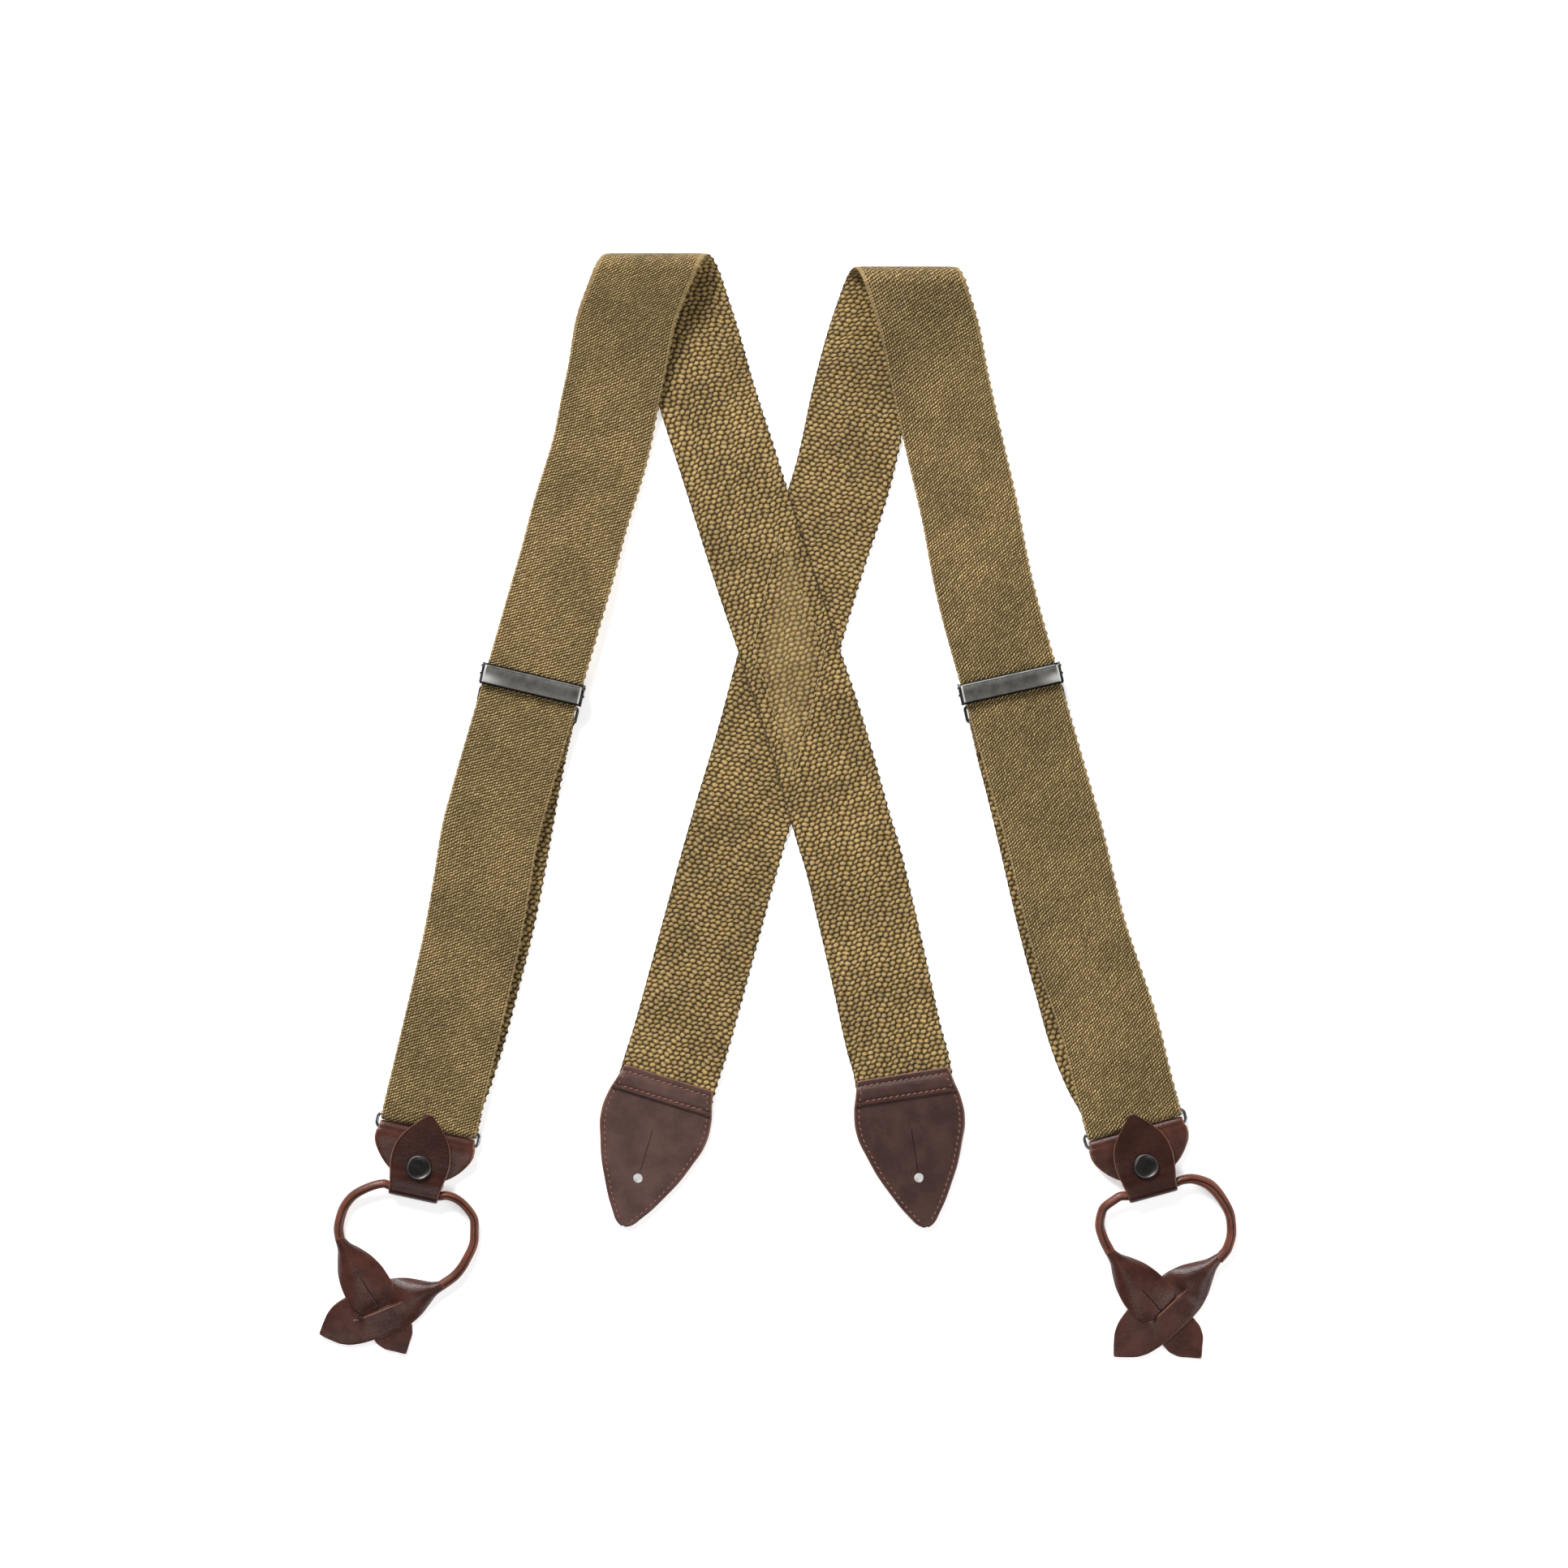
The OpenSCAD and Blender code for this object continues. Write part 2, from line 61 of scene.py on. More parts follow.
camera_data = bpy.data.cameras.new("camera")
camera_data.sensor_width = 36
camera_data.lens = 104.9
camera = bpy.data.objects.new("camera", camera_data)
camera.location = (0.0027, 0.0086, 1.8)
bpy.context.scene.collection.objects.link(camera)
bpy.context.scene.camera = camera
bpy.context.scene.view_settings.view_transform = "Standard"


def soft_box(name, place, size, power):
    """Square area light at a place, aimed at the middle of the table and unseen by the camera."""
    data = bpy.data.lights.new(name, "AREA")
    data.size = size
    data.energy = power
    light = bpy.data.objects.new(name, data)
    light.location = place
    light.rotation_euler = (-Vector(place)).to_track_quat("-Z", "Y").to_euler()
    light.visible_camera = False
    bpy.context.scene.collection.objects.link(light)


soft_box("top_box", (-1.2, 2.5, 1.9), 1.5, 172)
soft_box("side_box", (2.3, -1.0, 1.7), 1.6, 46)
soft_box("front_box", (-0.35, -1.3, 2.7), 0.9, 13)

sky = bpy.data.worlds.new("sky")
sky.use_nodes = True
sky.node_tree.nodes["Background"].inputs["Color"].default_value = (0.96, 0.98, 1, 1)
sky.node_tree.nodes["Background"].inputs["Strength"].default_value = 0.13
bpy.context.scene.world = sky

FLOOR_HALF, FLOOR_Z = 5.0, -0.0004
floor_mesh = bpy.data.meshes.new("floor")
floor_mesh.from_pydata(
    [(x * FLOOR_HALF, y * FLOOR_HALF, FLOOR_Z) for x, y in ((-1, -1), (1, -1), (1, 1), (-1, 1))],
    [], [(0, 1, 2, 3)])
floor = bpy.data.objects.new("floor", floor_mesh)
bpy.context.scene.collection.objects.link(floor)

# ---------------------------------------------------------------------------------------------------------
# The two main straps: elastic webbing 38 mm wide, woven with a fine slanted outer face, a coarse beaded
# inner face and knobbed edges. Each runs from its adjuster up to the shoulder, turns over and goes down the
# back to its leather tab; the left strap lies over the right one.

STRAP_HALF = 19.0
LEVEL = 5.7
LOW = 0.8
HIGH = 2.42
TAB_LEVEL = 1.85
SHOULDER_RADIUS = 6.2
SHOULDER_TOP = LOW + 2 * SHOULDER_RADIUS
FRONT_RUN = {
    "left": [
        (-96.28, 47.2, LEVEL, 0), (-86.2, 82.1, LEVEL, 0), (-82.5, 95, 4.7, 0), (-77.9, 113, 2.6, 0),
        (-69.3, 141.8, 1.8, 0), (-66.2, 157, 2.9, 0.2), (-63.2, 170.6, 4.4, 0.5),
        (-59.4, 189.8, 8.2, 0.9), (-51.4, 210, SHOULDER_TOP, 1),
    ],
    "right": [
        (91.79, 47.5, LEVEL, 0), (82.1, 82.5, LEVEL, 0), (79.4, 95, 4.7, 0), (76.2, 113, 2.6, 0),
        (69.7, 141.8, 1.8, 0), (66.2, 157, 2.9, 0.2), (63.2, 170.6, 4.6, 0.5),
        (59.7, 187, 8.6, 0.9), (54, 204.8, SHOULDER_TOP, 1),
    ],
}
BACK_RUN = {
    "left": [
        (-42.7, 210, LOW, 1), (-35.5, 188, LOW, 0.9), (-28, 162, LOW, 0.3), (-20, 137, HIGH, 0),
        (-6.4, 93.8, HIGH, 0), (5, 60, HIGH, 0), (16, 26.6, HIGH, 0), (26.9, -11.8, HIGH, 0),
        (28.9, -18, HIGH, 0), (35, -43, LOW, 0), (41, -69.4, LOW, 0), (46.2, -93, 0.95, 0),
        (48.6, -101.5, TAB_LEVEL, 0), (50.7, -114, TAB_LEVEL, 0),
    ],
    "right": [
        (46.2, 204.8, LOW, 1), (40.2, 188, LOW, 0.9), (33, 162, LOW, 0.3), (26.4, 132.2, LOW, 0),
        (14.2, 93.8, LOW, 0), (4.3, 60, LOW, 0), (-4.6, 26.6, LOW, 0), (-16, -11.8, LOW, 0),
        (-24, -40.6, LOW, 0), (-31.8, -69.4, LOW, 0), (-38.8, -94.5, 0.95, 0),
        (-41.4, -102.5, TAB_LEVEL, 0), (-45.2, -115.3, TAB_LEVEL, 0),
    ],
}
BEAD_ACROSS, BEAD_ALONG, BEAD_HEIGHT = 2.5, 1.92, 0.42
KNOB_PITCH, KNOB_REACH = 3.45, 0.65
FLOAT_PITCH, FLOAT_LEAN = 1.25, 0.5
SEWN_MIDDLE, SEWN_SPREAD = (5.0, 59.0), (12.0, 50.0)


def smooth_path(rows, spacing):
    """Even points on a curve through rows. Each coordinate is a cubic of the distance run; its slope at a row
    is the harmonic mean of the slopes on both sides, or nothing where they differ in sign."""
    rows = np.array(rows, float)
    steps = np.diff(rows, axis=0)
    run = np.linalg.norm(steps[:, :3], axis=1)[:, None]
    slopes = steps / run
    product = slopes[:-1] * slopes[1:]
    total = np.where(product > 0, slopes[:-1] + slopes[1:], 1)
    tangents = np.vstack([slopes[:1], np.where(product > 0, 2 * product / total, 0), slopes[-1:]])
    distance = np.concatenate([[0], np.cumsum(run)])
    at = np.linspace(0, distance[-1], int(distance[-1] / spacing) + 2)
    i = np.clip(np.searchsorted(distance, at, side="right") - 1, 0, len(run) - 1)
    t = ((at - distance[i]) / run[i, 0])[:, None]
    ends = (1 + 2 * t) * (1 - t) ** 2 * rows[i] + t * t * (3 - 2 * t) * rows[i + 1]
    bends = t * (1 - t) ** 2 * tangents[i] + t * t * (t - 1) * tangents[i + 1]
    return ends + bends * run[i]


def with_cross_line(rows):
    """Rows of x, y, z, share turned become x, y, z, angle of the cross line, half width. The cross line is
    square to the run, but the share turned takes it back toward the x axis and widens it to match."""
    rows = np.array([(*row, 0)[:4] for row in rows], float)
    index = np.arange(len(rows))
    run = (rows[np.minimum(index + 1, len(rows) - 1)] - rows[np.maximum(index - 1, 0)])[:, :2]
    run = run * np.sign(run[:, 1:])
    angle = np.arctan2(-run[:, 0], run[:, 1])
    return np.column_stack([rows[:, :3], angle * (1 - rows[:, 3]), STRAP_HALF / np.cos(angle * rows[:, 3])])


def bead_relief(across, along):
    """Height from 0 to 1 of round beads in rows that step half a bead sideways, each a half ellipsoid of
    its own height from a hash of its row and place, on lines that wander by slow sines."""
    across = across + 0.36 * np.sin(along * 0.61) + 0.3 * np.sin(along * 1.37 + across * 0.5)
    along = along + 0.32 * np.sin(across * 0.83 + along * 0.2) + 0.25 * np.sin(across * 0.37 + along * 0.11)
    row = np.floor(along / BEAD_ALONG)
    place = across / BEAD_ACROSS + 0.5 * np.mod(row, 2)
    p = place - np.floor(place) - 0.5
    q = along / BEAD_ALONG - row - 0.5
    own = np.mod(np.sin(row * 12.9898 + np.floor(place) * 78.233) * 43758.5453, 1)
    return np.sqrt(np.clip(1 - (2.1 * p + 0.25 * q) ** 2 - (2.1 * q) ** 2, 0, 1)) * (0.72 + 0.28 * own)


def web(path, columns, outer_columns, beaded=1.0, flip=1.0):
    """Closed band of webbing along a path of x, y, z, cross angle, half width. The section is a thin oval:
    the thickness falls as the root of 1 - |place across|^30, the inner face carries the beads and one edge
    carries knobs. flip -1 turns the outer face down. Gives rings, weave coordinates and relief: the bead
    relief that the material paints as shade and highlight, with a painted dark shade line along both edges
    of the inner face."""
    centre, angle, half = path[:, :3], path[:, 3], path[:, 4]
    cross = flip * np.column_stack([np.cos(angle), np.sin(angle), np.zeros_like(angle)])
    outward = np.cross(cross, np.gradient(centre, axis=0))
    outward /= np.linalg.norm(outward, axis=1)[:, None]
    along = np.concatenate([[0], np.cumsum(np.linalg.norm(np.diff(centre, axis=0), axis=1))])
    tight = np.array([0.99, 1])
    inner = np.concatenate([-tight[::-1], np.linspace(-0.97, 0.97, columns), tight])
    outer = np.concatenate([[0.99], np.linspace(0.96, -0.96, outer_columns), [-0.99]])
    place = np.concatenate([inner, outer])
    is_inner = np.concatenate([np.ones(len(inner)), np.zeros(len(outer))])
    s, f = np.meshgrid(along, place, indexing="ij")
    body = np.sqrt(np.clip(1 - np.abs(f) ** 30, 0, 1))
    knob = np.abs(np.cos(math.pi * s / KNOB_PITCH + np.sign(f))) ** 5
    knob = KNOB_REACH * knob * np.abs(f) ** 20 * np.where(f * flip > 0, 1, 0.3)
    reach = f * half[:, None] + np.sign(f) * knob
    relief = bead_relief(reach, s) * np.broadcast_to(beaded, along.shape)[:, None]
    lift = np.where(is_inner > 0, -body * (0.5 + BEAD_HEIGHT * relief), body * 0.72)
    rings = centre[:, None] + reach[..., None] * cross[:, None] + lift[..., None] * outward[:, None]
    weave = np.stack([reach, s, np.broadcast_to(is_inner, s.shape)], -1)
    shade = np.where(is_inner > 0, relief + 0.75 * (1 - np.broadcast_to(beaded, along.shape)[:, None]), 0.6)
    # painted shade: a dark line along both edges of the inner face
    shade = shade * np.where((is_inner > 0) & (np.abs(f) > 0.985), 0.45, 1.0)
    return rings, weave, shade


def new_object(name, grids, material, sharp=None, **traits):
    """One mesh from closed tubes. A grid is (tubes,) rings, points, xyz: walls join neighbouring rings and a
    cap closes each end. Faces are turned round where the signed volume is negative. Traits are point
    attributes, one array per grid."""
    vertices, faces, base = [], [], 0
    for grid in grids:
        grid = grid.reshape(-1, *grid.shape[-3:])
        index = base + np.arange(grid[..., 0].size).reshape(grid.shape[:3])
        here, after = index[:, :-1], index[:, 1:]
        walls = np.stack([here, np.roll(here, -1, 2), np.roll(after, -1, 2), after], -1).reshape(-1, 4)
        caps = np.concatenate([index[:, 0, ::-1], index[:, -1]])
        flat = grid.reshape(-1, 3)
        a, b, c, d = (flat[walls[:, k] - base] for k in range(4))
        volume = np.sum(a * np.cross(b, c)) + np.sum(a * np.cross(c, d))
        fan = flat[caps - base]
        volume += np.sum(fan[:, :1] * np.cross(fan[:, 1:-1], fan[:, 2:]))
        turn = 1 if volume > 0 else -1
        faces += walls[:, ::turn].tolist() + caps[:, ::turn].tolist()
        vertices.append(flat)
        base += len(flat)
    mesh = bpy.data.meshes.new(name)
    mesh.from_pydata(np.concatenate(vertices) * MM, [], faces)
    mesh.polygons.foreach_set("use_smooth", np.ones(len(mesh.polygons), bool))
    if sharp:
        mesh.set_sharp_from_angle(angle=math.radians(sharp))
    for trait, arrays in traits.items():
        values = np.concatenate([np.reshape(x, (-1, 3)) if trait == "weave" else np.ravel(x) for x in arrays])
        kind, field = ("FLOAT_VECTOR", "vector") if trait == "weave" else ("FLOAT", "value")
        mesh.attributes.new(trait, kind, "POINT").data.foreach_set(field, values.astype(np.float32).ravel())
    made = bpy.data.objects.new(name, mesh)
    made.data.materials.append(material)
    bpy.context.scene.collection.objects.link(made)
    return made


def node(tree, kind, inputs=None, out=0, **settings):
    """New shader node. An input, by name or number, is a value or another node's output."""
    made = tree.nodes.new("ShaderNode" + kind)
    for key, value in settings.items():
        setattr(made, key, value)
    for key, value in (inputs or {}).items():
        if isinstance(value, bpy.types.NodeSocket):
            tree.links.new(value, made.inputs[key])
        else:
            made.inputs[key].default_value = value
    return made.outputs[out]


def calc(tree, operation, *terms):
    """Sum, product or other operation on up to three terms."""
    return node(tree, "Math", dict(enumerate(terms)), operation=operation)


def mixed(tree, share, a, b, mode="MIX"):
    """Colour a turned into colour b by a share of 0 to 1."""
    return node(tree, "Mix", {0: share, 6: a, 7: b}, out=2, data_type="RGBA", blend_type=mode)


def ranged(tree, value, low, high, to_low=0.0, to_high=1.0):
    """The value's range low to high carried over to another range, smoothly and clamped."""
    return node(tree, "MapRange", {0: value, 1: low, 2: high, 3: to_low, 4: to_high},
                interpolation_type="SMOOTHSTEP")


def noise(tree, vector, scale, detail=2.0, roughness=0.5):
    """Fractal noise of 0 to 1."""
    settings = {"Vector": vector, "Scale": scale, "Detail": detail, "Roughness": roughness}
    return node(tree, "TexNoise", settings)


def millimetres(tree):
    """The object's own coordinates, in millimetres."""
    place = node(tree, "TexCoord", out=3)
    return node(tree, "VectorMath", {0: place, 3: 1 / MM}, operation="SCALE")


def new_material(name, **constants):
    """Material with one Principled surface. Gives it, its tree and the surface's inputs."""
    made = bpy.data.materials.new(name)
    made.use_nodes = True
    surface = made.node_tree.nodes["Principled BSDF"]
    for key, value in constants.items():
        surface.inputs[key.replace("_", " ")].default_value = value
    return made, made.node_tree, surface.inputs


def join(tree, output, socket):
    """Links an output to a socket."""
    tree.links.new(output, socket)


def woven_elastic():
    """Olive webbing. The outer face is short slanted floats in columns, each column shifted on the last,
    painted with shade between the floats and highlight on them; the inner face is painted with shade between
    the beads and highlight on their tops, from the relief of the beads. Slow clouds of painted shade vary
    both."""
    made, tree, surface = new_material("woven_elastic", Roughness=0.88, Specular_IOR_Level=0.15,
                                       Sheen_Weight=0.12, Sheen_Roughness=0.5)
    weave = node(tree, "Attribute", out=1, attribute_name="weave")
    relief = node(tree, "Attribute", out=2, attribute_name="relief")
    across, along, is_inner = (node(tree, "SeparateXYZ", {0: weave}, part) for part in range(3))
    place = millimetres(tree)
    wander = noise(tree, place, 0.55, 2)
    clouds = noise(tree, place, 0.045, 3)
    fibre = noise(tree, place, 1.7, 3, 0.7)

    column = calc(tree, "FLOOR", across)
    u = calc(tree, "SUBTRACT", calc(tree, "FRACT", across), 0.5)
    shifted = calc(tree, "MULTIPLY_ADD", column, -FLOAT_LEAN, calc(tree, "DIVIDE", along, FLOAT_PITCH))
    wandered = calc(tree, "MULTIPLY_ADD", wander, 1.1, shifted)
    row = calc(tree, "FLOOR", wandered)
    v = calc(tree, "SUBTRACT", calc(tree, "FRACT", wandered), 0.5)
    slanted = calc(tree, "MULTIPLY_ADD", u, -FLOAT_LEAN, v)
    spread = calc(tree, "ADD", calc(tree, "POWER", calc(tree, "MULTIPLY", u, 1.75), 2.0),
                  calc(tree, "POWER", calc(tree, "MULTIPLY", slanted, 2.5), 2.0))
    float_height = ranged(tree, spread, 1.0, 0.05)
    cell = node(tree, "CombineXYZ", {0: column, 1: row})
    own = node(tree, "TexWhiteNoise", {0: cell}, noise_dimensions="3D")
    selvedge = ranged(tree, calc(tree, "ABSOLUTE", across), 18.35, 18.6)
    # float_lit: painted highlight on each float, painted shade between the floats
    float_lit = calc(tree, "MULTIPLY", float_height, ranged(tree, own, 0.0, 1.0, 0.55, 1.0))
    float_lit = calc(tree, "MAXIMUM", float_lit, calc(tree, "MULTIPLY", selvedge, 0.42))
    outer = mixed(tree, float_lit, (0.052, 0.032, 0.0095, 1), (0.545, 0.384, 0.170, 1))

    fibre_lit = ranged(tree, fibre, 0.3, 0.68, 0.66, 1.0)
    # bead_lit: painted shade between the beads, painted highlight on their tops
    bead_lit = calc(tree, "MULTIPLY", ranged(tree, relief, 0.05, 0.95), fibre_lit)
    inner = mixed(tree, bead_lit, (0.036, 0.021, 0.006, 1), (0.535, 0.368, 0.150, 1))
    off = [calc(tree, "SUBTRACT", node(tree, "SeparateXYZ", {0: place}, part), middle)
           for part, middle in enumerate(SEWN_MIDDLE)]
    off = [calc(tree, "DIVIDE", calc(tree, "ABSOLUTE", far), spread) for far, spread in zip(off, SEWN_SPREAD)]
    # inside the sewn diamond the painted bead shade is made lighter and softer
    sewn_lighter_shade = ranged(tree, calc(tree, "ADD", *off), 1.15, 0.6, 0.0, 0.2)
    inner = mixed(tree, sewn_lighter_shade, inner, (0.36, 0.262, 0.118, 1))
    face = mixed(tree, is_inner, outer, inner)
    # shade: slow clouds of painted shade over both faces
    shade = ranged(tree, clouds, 0.3, 0.7, 0.8, 1.12)
    shaded = mixed(tree, 1.0, face, node(tree, "CombineColor", {0: shade, 1: shade, 2: shade}), "MULTIPLY")
    join(tree, shaded, surface["Base Color"])
    weave_bump = node(tree, "Bump", {"Strength": 0.8, "Distance": 0.00028, "Height": node(
        tree, "Mix", {0: is_inner, 2: float_height, 3: 0.5}, data_type="FLOAT")})
    yarn = {"Strength": 0.5, "Distance": 0.00012, "Height": fibre, "Normal": weave_bump}
    yarn_bump = node(tree, "Bump", yarn)
    join(tree, yarn_bump, surface["Normal"])
    return made


WOVEN_ELASTIC = woven_elastic()


for side in SIDES:
    front = smooth_path(with_cross_line(FRONT_RUN[side]), 0.8)
    back = smooth_path(with_cross_line(BACK_RUN[side]), 0.48)
    turn = np.linspace(0, math.pi, 38)[1:-1]
    share = (turn / math.pi)[:, None]
    over = front[-1] * (1 - share) + back[0] * share
    over[:, 1] = front[-1, 1] + SHOULDER_RADIUS * np.sin(turn)
    over[:, 2] = LOW + SHOULDER_RADIUS * (1 + np.cos(turn))
    path = np.vstack([front, over, back])
    beaded = np.concatenate([np.zeros(len(front)), np.linspace(0, 1, len(over)), np.ones(len(back))])
    rings, weave, relief = web(path, 74, 15, beaded)
    strap = new_object(f"{side}_strap", [rings], WOVEN_ELASTIC, weave=[weave], relief=[relief])
    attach(strap, "webbing_set")
    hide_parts(f"{side}_webbing")

# ---------------------------------------------------------------------------------------------------------
# The two plies below each adjuster, one length of the same webbing: the front ply goes down to the oval
# ring and round its upper bar, and the return ply comes back up beneath it, coarse face up, to the loop.

UP = np.array([0.0, 0.0, 1.0])
BAR_TOP, BAR_LOW, BAR_Z = 3.8, -1.9, 2.35
TURN_RADIUS = 1.55
TURN_DROP = 1.98
RETURN_LEVEL = 0.95
LOWER_RUN = {
    "left": [
        (-135.75, -120, 3.8), (-132.8, -107.8, 3.95), (-128.2, -88.6, 4.2), (-123.7, -69.4, 4.5),
        (-119.5, -50.2, 4.8), (-116.1, -31, 5.2), (-113, -11.8, 5.6), (-109, 3.3, LEVEL),
        (-96.28, 47.2, LEVEL),
    ],
    "right": [
        (138.7, -119.3, 3.8), (135.7, -107.8, 3.95), (131, -88.6, 4.2), (124.6, -69.4, 4.5),
        (118.2, -50.2, 4.8), (113.4, -31, 5.2), (108.8, -11.8, 5.6), (104.4, 3.5, LEVEL),
        (91.79, 47.5, LEVEL),
    ],
}
RETURN_RUN = {
    "left": [
        (-135.6, -119.3), (-134.5, -114.2), (-131.2, -105), (-126, -88.6), (-120.9, -69.4),
        (-116, -50.2), (-111.9, -31), (-108.4, -11.8), (-105, 7.4), (-102, 22.8),
    ],
    "right": [
        (138.7, -119.3), (137.2, -114), (131.8, -104), (125.6, -88.6), (120.2, -69.4),
        (115, -50.2), (110.4, -31), (106, -11.8), (101.4, 7.4), (97.3, 23),
    ],
}


def seat(joint_name, y, z):
    """Where a fitting sits: the origin of its own frame in millimetres and its across and along directions,
    from a joint whose axis runs across it at height z and y along."""
    joint = next(j for j in frame["joints"] if j["name"] == joint_name)
    across = np.array(joint["axis"], float)
    across *= np.sign(across[0])
    along = np.array([-across[1], across[0], 0])
    origin = np.array(joint["pos_m"], float) / MM - y * along - z * UP
    return origin, across, along


def set_in(place, points):
    """Points of across, along, up in a fitting's own frame, carried to where the fitting sits."""
    origin, across, along = place
    points = np.asarray(points, float)
    return origin + points[..., :1] * across + points[..., 1:2] * along + points[..., 2:] * UP


CLIP = {side: seat(f"{side}_yoke_hinge", BAR_LOW, BAR_Z) for side in SIDES}
HINGE_Y, HINGE_Z = 3.1, 8.0
ADJUSTER = {side: seat(f"{side}_cover_hinge", HINGE_Y, HINGE_Z) for side in SIDES}

for side in SIDES:
    place = CLIP[side]
    tilt = math.atan2(place[1][1], place[1][0])
    turn = np.radians(np.arange(0, 181, 12))
    arc = set_in(place, np.column_stack([
        0 * turn, BAR_TOP - TURN_DROP * np.sin(turn), BAR_Z - TURN_RADIUS * np.cos(turn)]))
    arc = np.column_stack([arc, np.full(len(turn), tilt), np.full(len(turn), STRAP_HALF)])
    run = smooth_path(np.vstack([arc, with_cross_line(LOWER_RUN[side])]), 0.7)
    rings, weave, relief = web(run, 38, 15, 0.6)
    ply = new_object(f"{side}_front_ply", [rings], WOVEN_ELASTIC, weave=[weave], relief=[relief])
    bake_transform(ply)
    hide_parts(f"{side}_webbing_front", f"{side}_webbing_bight")

    rows = with_cross_line([(x, y, RETURN_LEVEL) for x, y in RETURN_RUN[side]])
    start = np.array([*(set_in(place, [0, BAR_TOP, BAR_Z - TURN_RADIUS])), tilt, STRAP_HALF])
    run = smooth_path(np.vstack([start, rows]), 0.48)
    rings, weave, relief = web(run, 74, 15, 1.0, flip=-1.0)
    ply = new_object(f"{side}_return_ply", [rings], WOVEN_ELASTIC, weave=[weave], relief=[relief])
    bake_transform(ply)
    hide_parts(f"{side}_webbing_return")

# ---------------------------------------------------------------------------------------------------------
# The sewn end of the webbing: it turns round the lower bar of the wire loop behind the adjuster and two
# rows of olive thread hold it down on itself.

LOOP_LOW = (-11.0, 2.35)
TAIL_Y, TAIL_RADIUS = -24.0, 1.4
SEWN_HALF = 18.6
STITCH_ROWS = (-15.5, -22.0)


def olive_thread():
    """Sewing thread a little lighter than the webbing, twisted in fine slanting lines."""
    made, tree, surface = new_material("olive_thread", Roughness=0.7, Specular_IOR_Level=0.25,
                                       Sheen_Weight=0.1)
    place = millimetres(tree)
    twist = node(tree, "TexWave", {"Vector": place, "Scale": 1.1, "Distortion": 1.0}, out=1,
                 bands_direction="DIAGONAL")
    join(tree, mixed(tree, twist, (0.24, 0.17, 0.065, 1), (0.44, 0.325, 0.15, 1)), surface["Base Color"])
    join(tree, node(tree, "Bump", {"Strength": 0.6, "Distance": 0.0001, "Height": twist}), surface["Normal"])
    return made


def stitches(starts, ends, pitch, length, radius, lean=0.0):
    """Capsules along straight rows. A row from start to end holds its length over the pitch; a capsule's
    radius falls as the root of 1 - |x|^3 and its ends dip by the square of x. Gives tubes and how far each
    point is toward an end."""
    middles, turns = [], []
    for a, b in zip(np.array(starts, float), np.array(ends, float)):
        count = max(1, round(float(np.linalg.norm(b - a)) / pitch))
        middles.append(a + (b - a) * ((np.arange(count) + 0.5) / count)[:, None])
        turns.append(np.full(count, math.atan2(b[1] - a[1], b[0] - a[0]) + lean))
    middle, angle = np.concatenate(middles), np.concatenate(turns)
    x = np.sin(np.linspace(-1.5, 1.5, 8))
    girth = radius * np.sqrt(1 - np.abs(x) ** 3 * 0.97)
    round_it = np.arange(7) * 2 * math.pi / 7
    along = np.column_stack([np.cos(angle), np.sin(angle), 0 * angle])
    beside = np.column_stack([-np.sin(angle), np.cos(angle), 0 * angle])
    spine = middle[:, None] + along[:, None] * (x * length / 2)[:, None]
    spine[..., 2] -= 0.32 * x ** 2
    tubes = (spine[:, :, None] + beside[:, None, None] * (girth[:, None] * np.cos(round_it))[..., None]
             + UP * (girth[:, None] * np.sin(round_it))[..., None])
    return tubes, np.broadcast_to((x ** 4)[None, :, None], tubes.shape[:3])


OLIVE_THREAD = olive_thread()

for side in SIDES:
    place = ADJUSTER[side]
    tilt = math.atan2(place[1][1], place[1][0])
    turn = np.radians(np.arange(0, 181, 15))
    y, z = LOOP_LOW
    around = [(TAIL_Y - 2.4, RETURN_LEVEL), (y - 5, RETURN_LEVEL)]
    around += [(y + TAIL_RADIUS * math.sin(t), z - TAIL_RADIUS * math.cos(t)) for t in turn]
    around += [(y - 5, RETURN_LEVEL + 1.9), (TAIL_Y, RETURN_LEVEL + 1.75)]
    inner = 1 if side == "left" else -1
    points = set_in(place, [(inner * 0.3, *p) for p in around])
    ends = np.full((len(points), 1), 1.0) * [tilt, SEWN_HALF]
    run = smooth_path(np.column_stack([points, ends]), 0.6)
    rings, weave, relief = web(run, 60, 15, 0.8, flip=-1.0)
    tail = new_object(f"{side}_sewn_tail", [rings], WOVEN_ELASTIC, weave=[weave], relief=[relief])
    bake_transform(tail)
    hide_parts(f"{side}_sewn_end")
    z = RETURN_LEVEL + 1.85 + 0.85
    row_ends = [set_in(place, [(s * 17.2, y, z) for y in STITCH_ROWS]) for s in (-1, 1)]
    tubes, dip = stitches(*row_ends, 2.7, 2.0, 0.3)
    thread = new_object(f"{side}_tail_thread", [tubes], OLIVE_THREAD, dip=[dip])
    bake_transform(thread)
    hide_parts(f"{side}_end_stitching")

# ---------------------------------------------------------------------------------------------------------
# The slide adjuster: a pressed frame, a hinge pin, a bent wire loop and a curved cover plate whose toothed
# bar bites the webbing. All are steel under a dark satin plating; the cover plate carries painted highlights
# at its ends and painted shade along its long edges.

COVER_HALF, COVER_RADIUS, COVER_THICK = 19.5, 13.0, 0.9
COVER_CENTRE = (0.2, -3.7)
KNUCKLE_RADIUS = 1.05
TOOTH_COUNT, TOOTH_PITCH = 19, 1.95


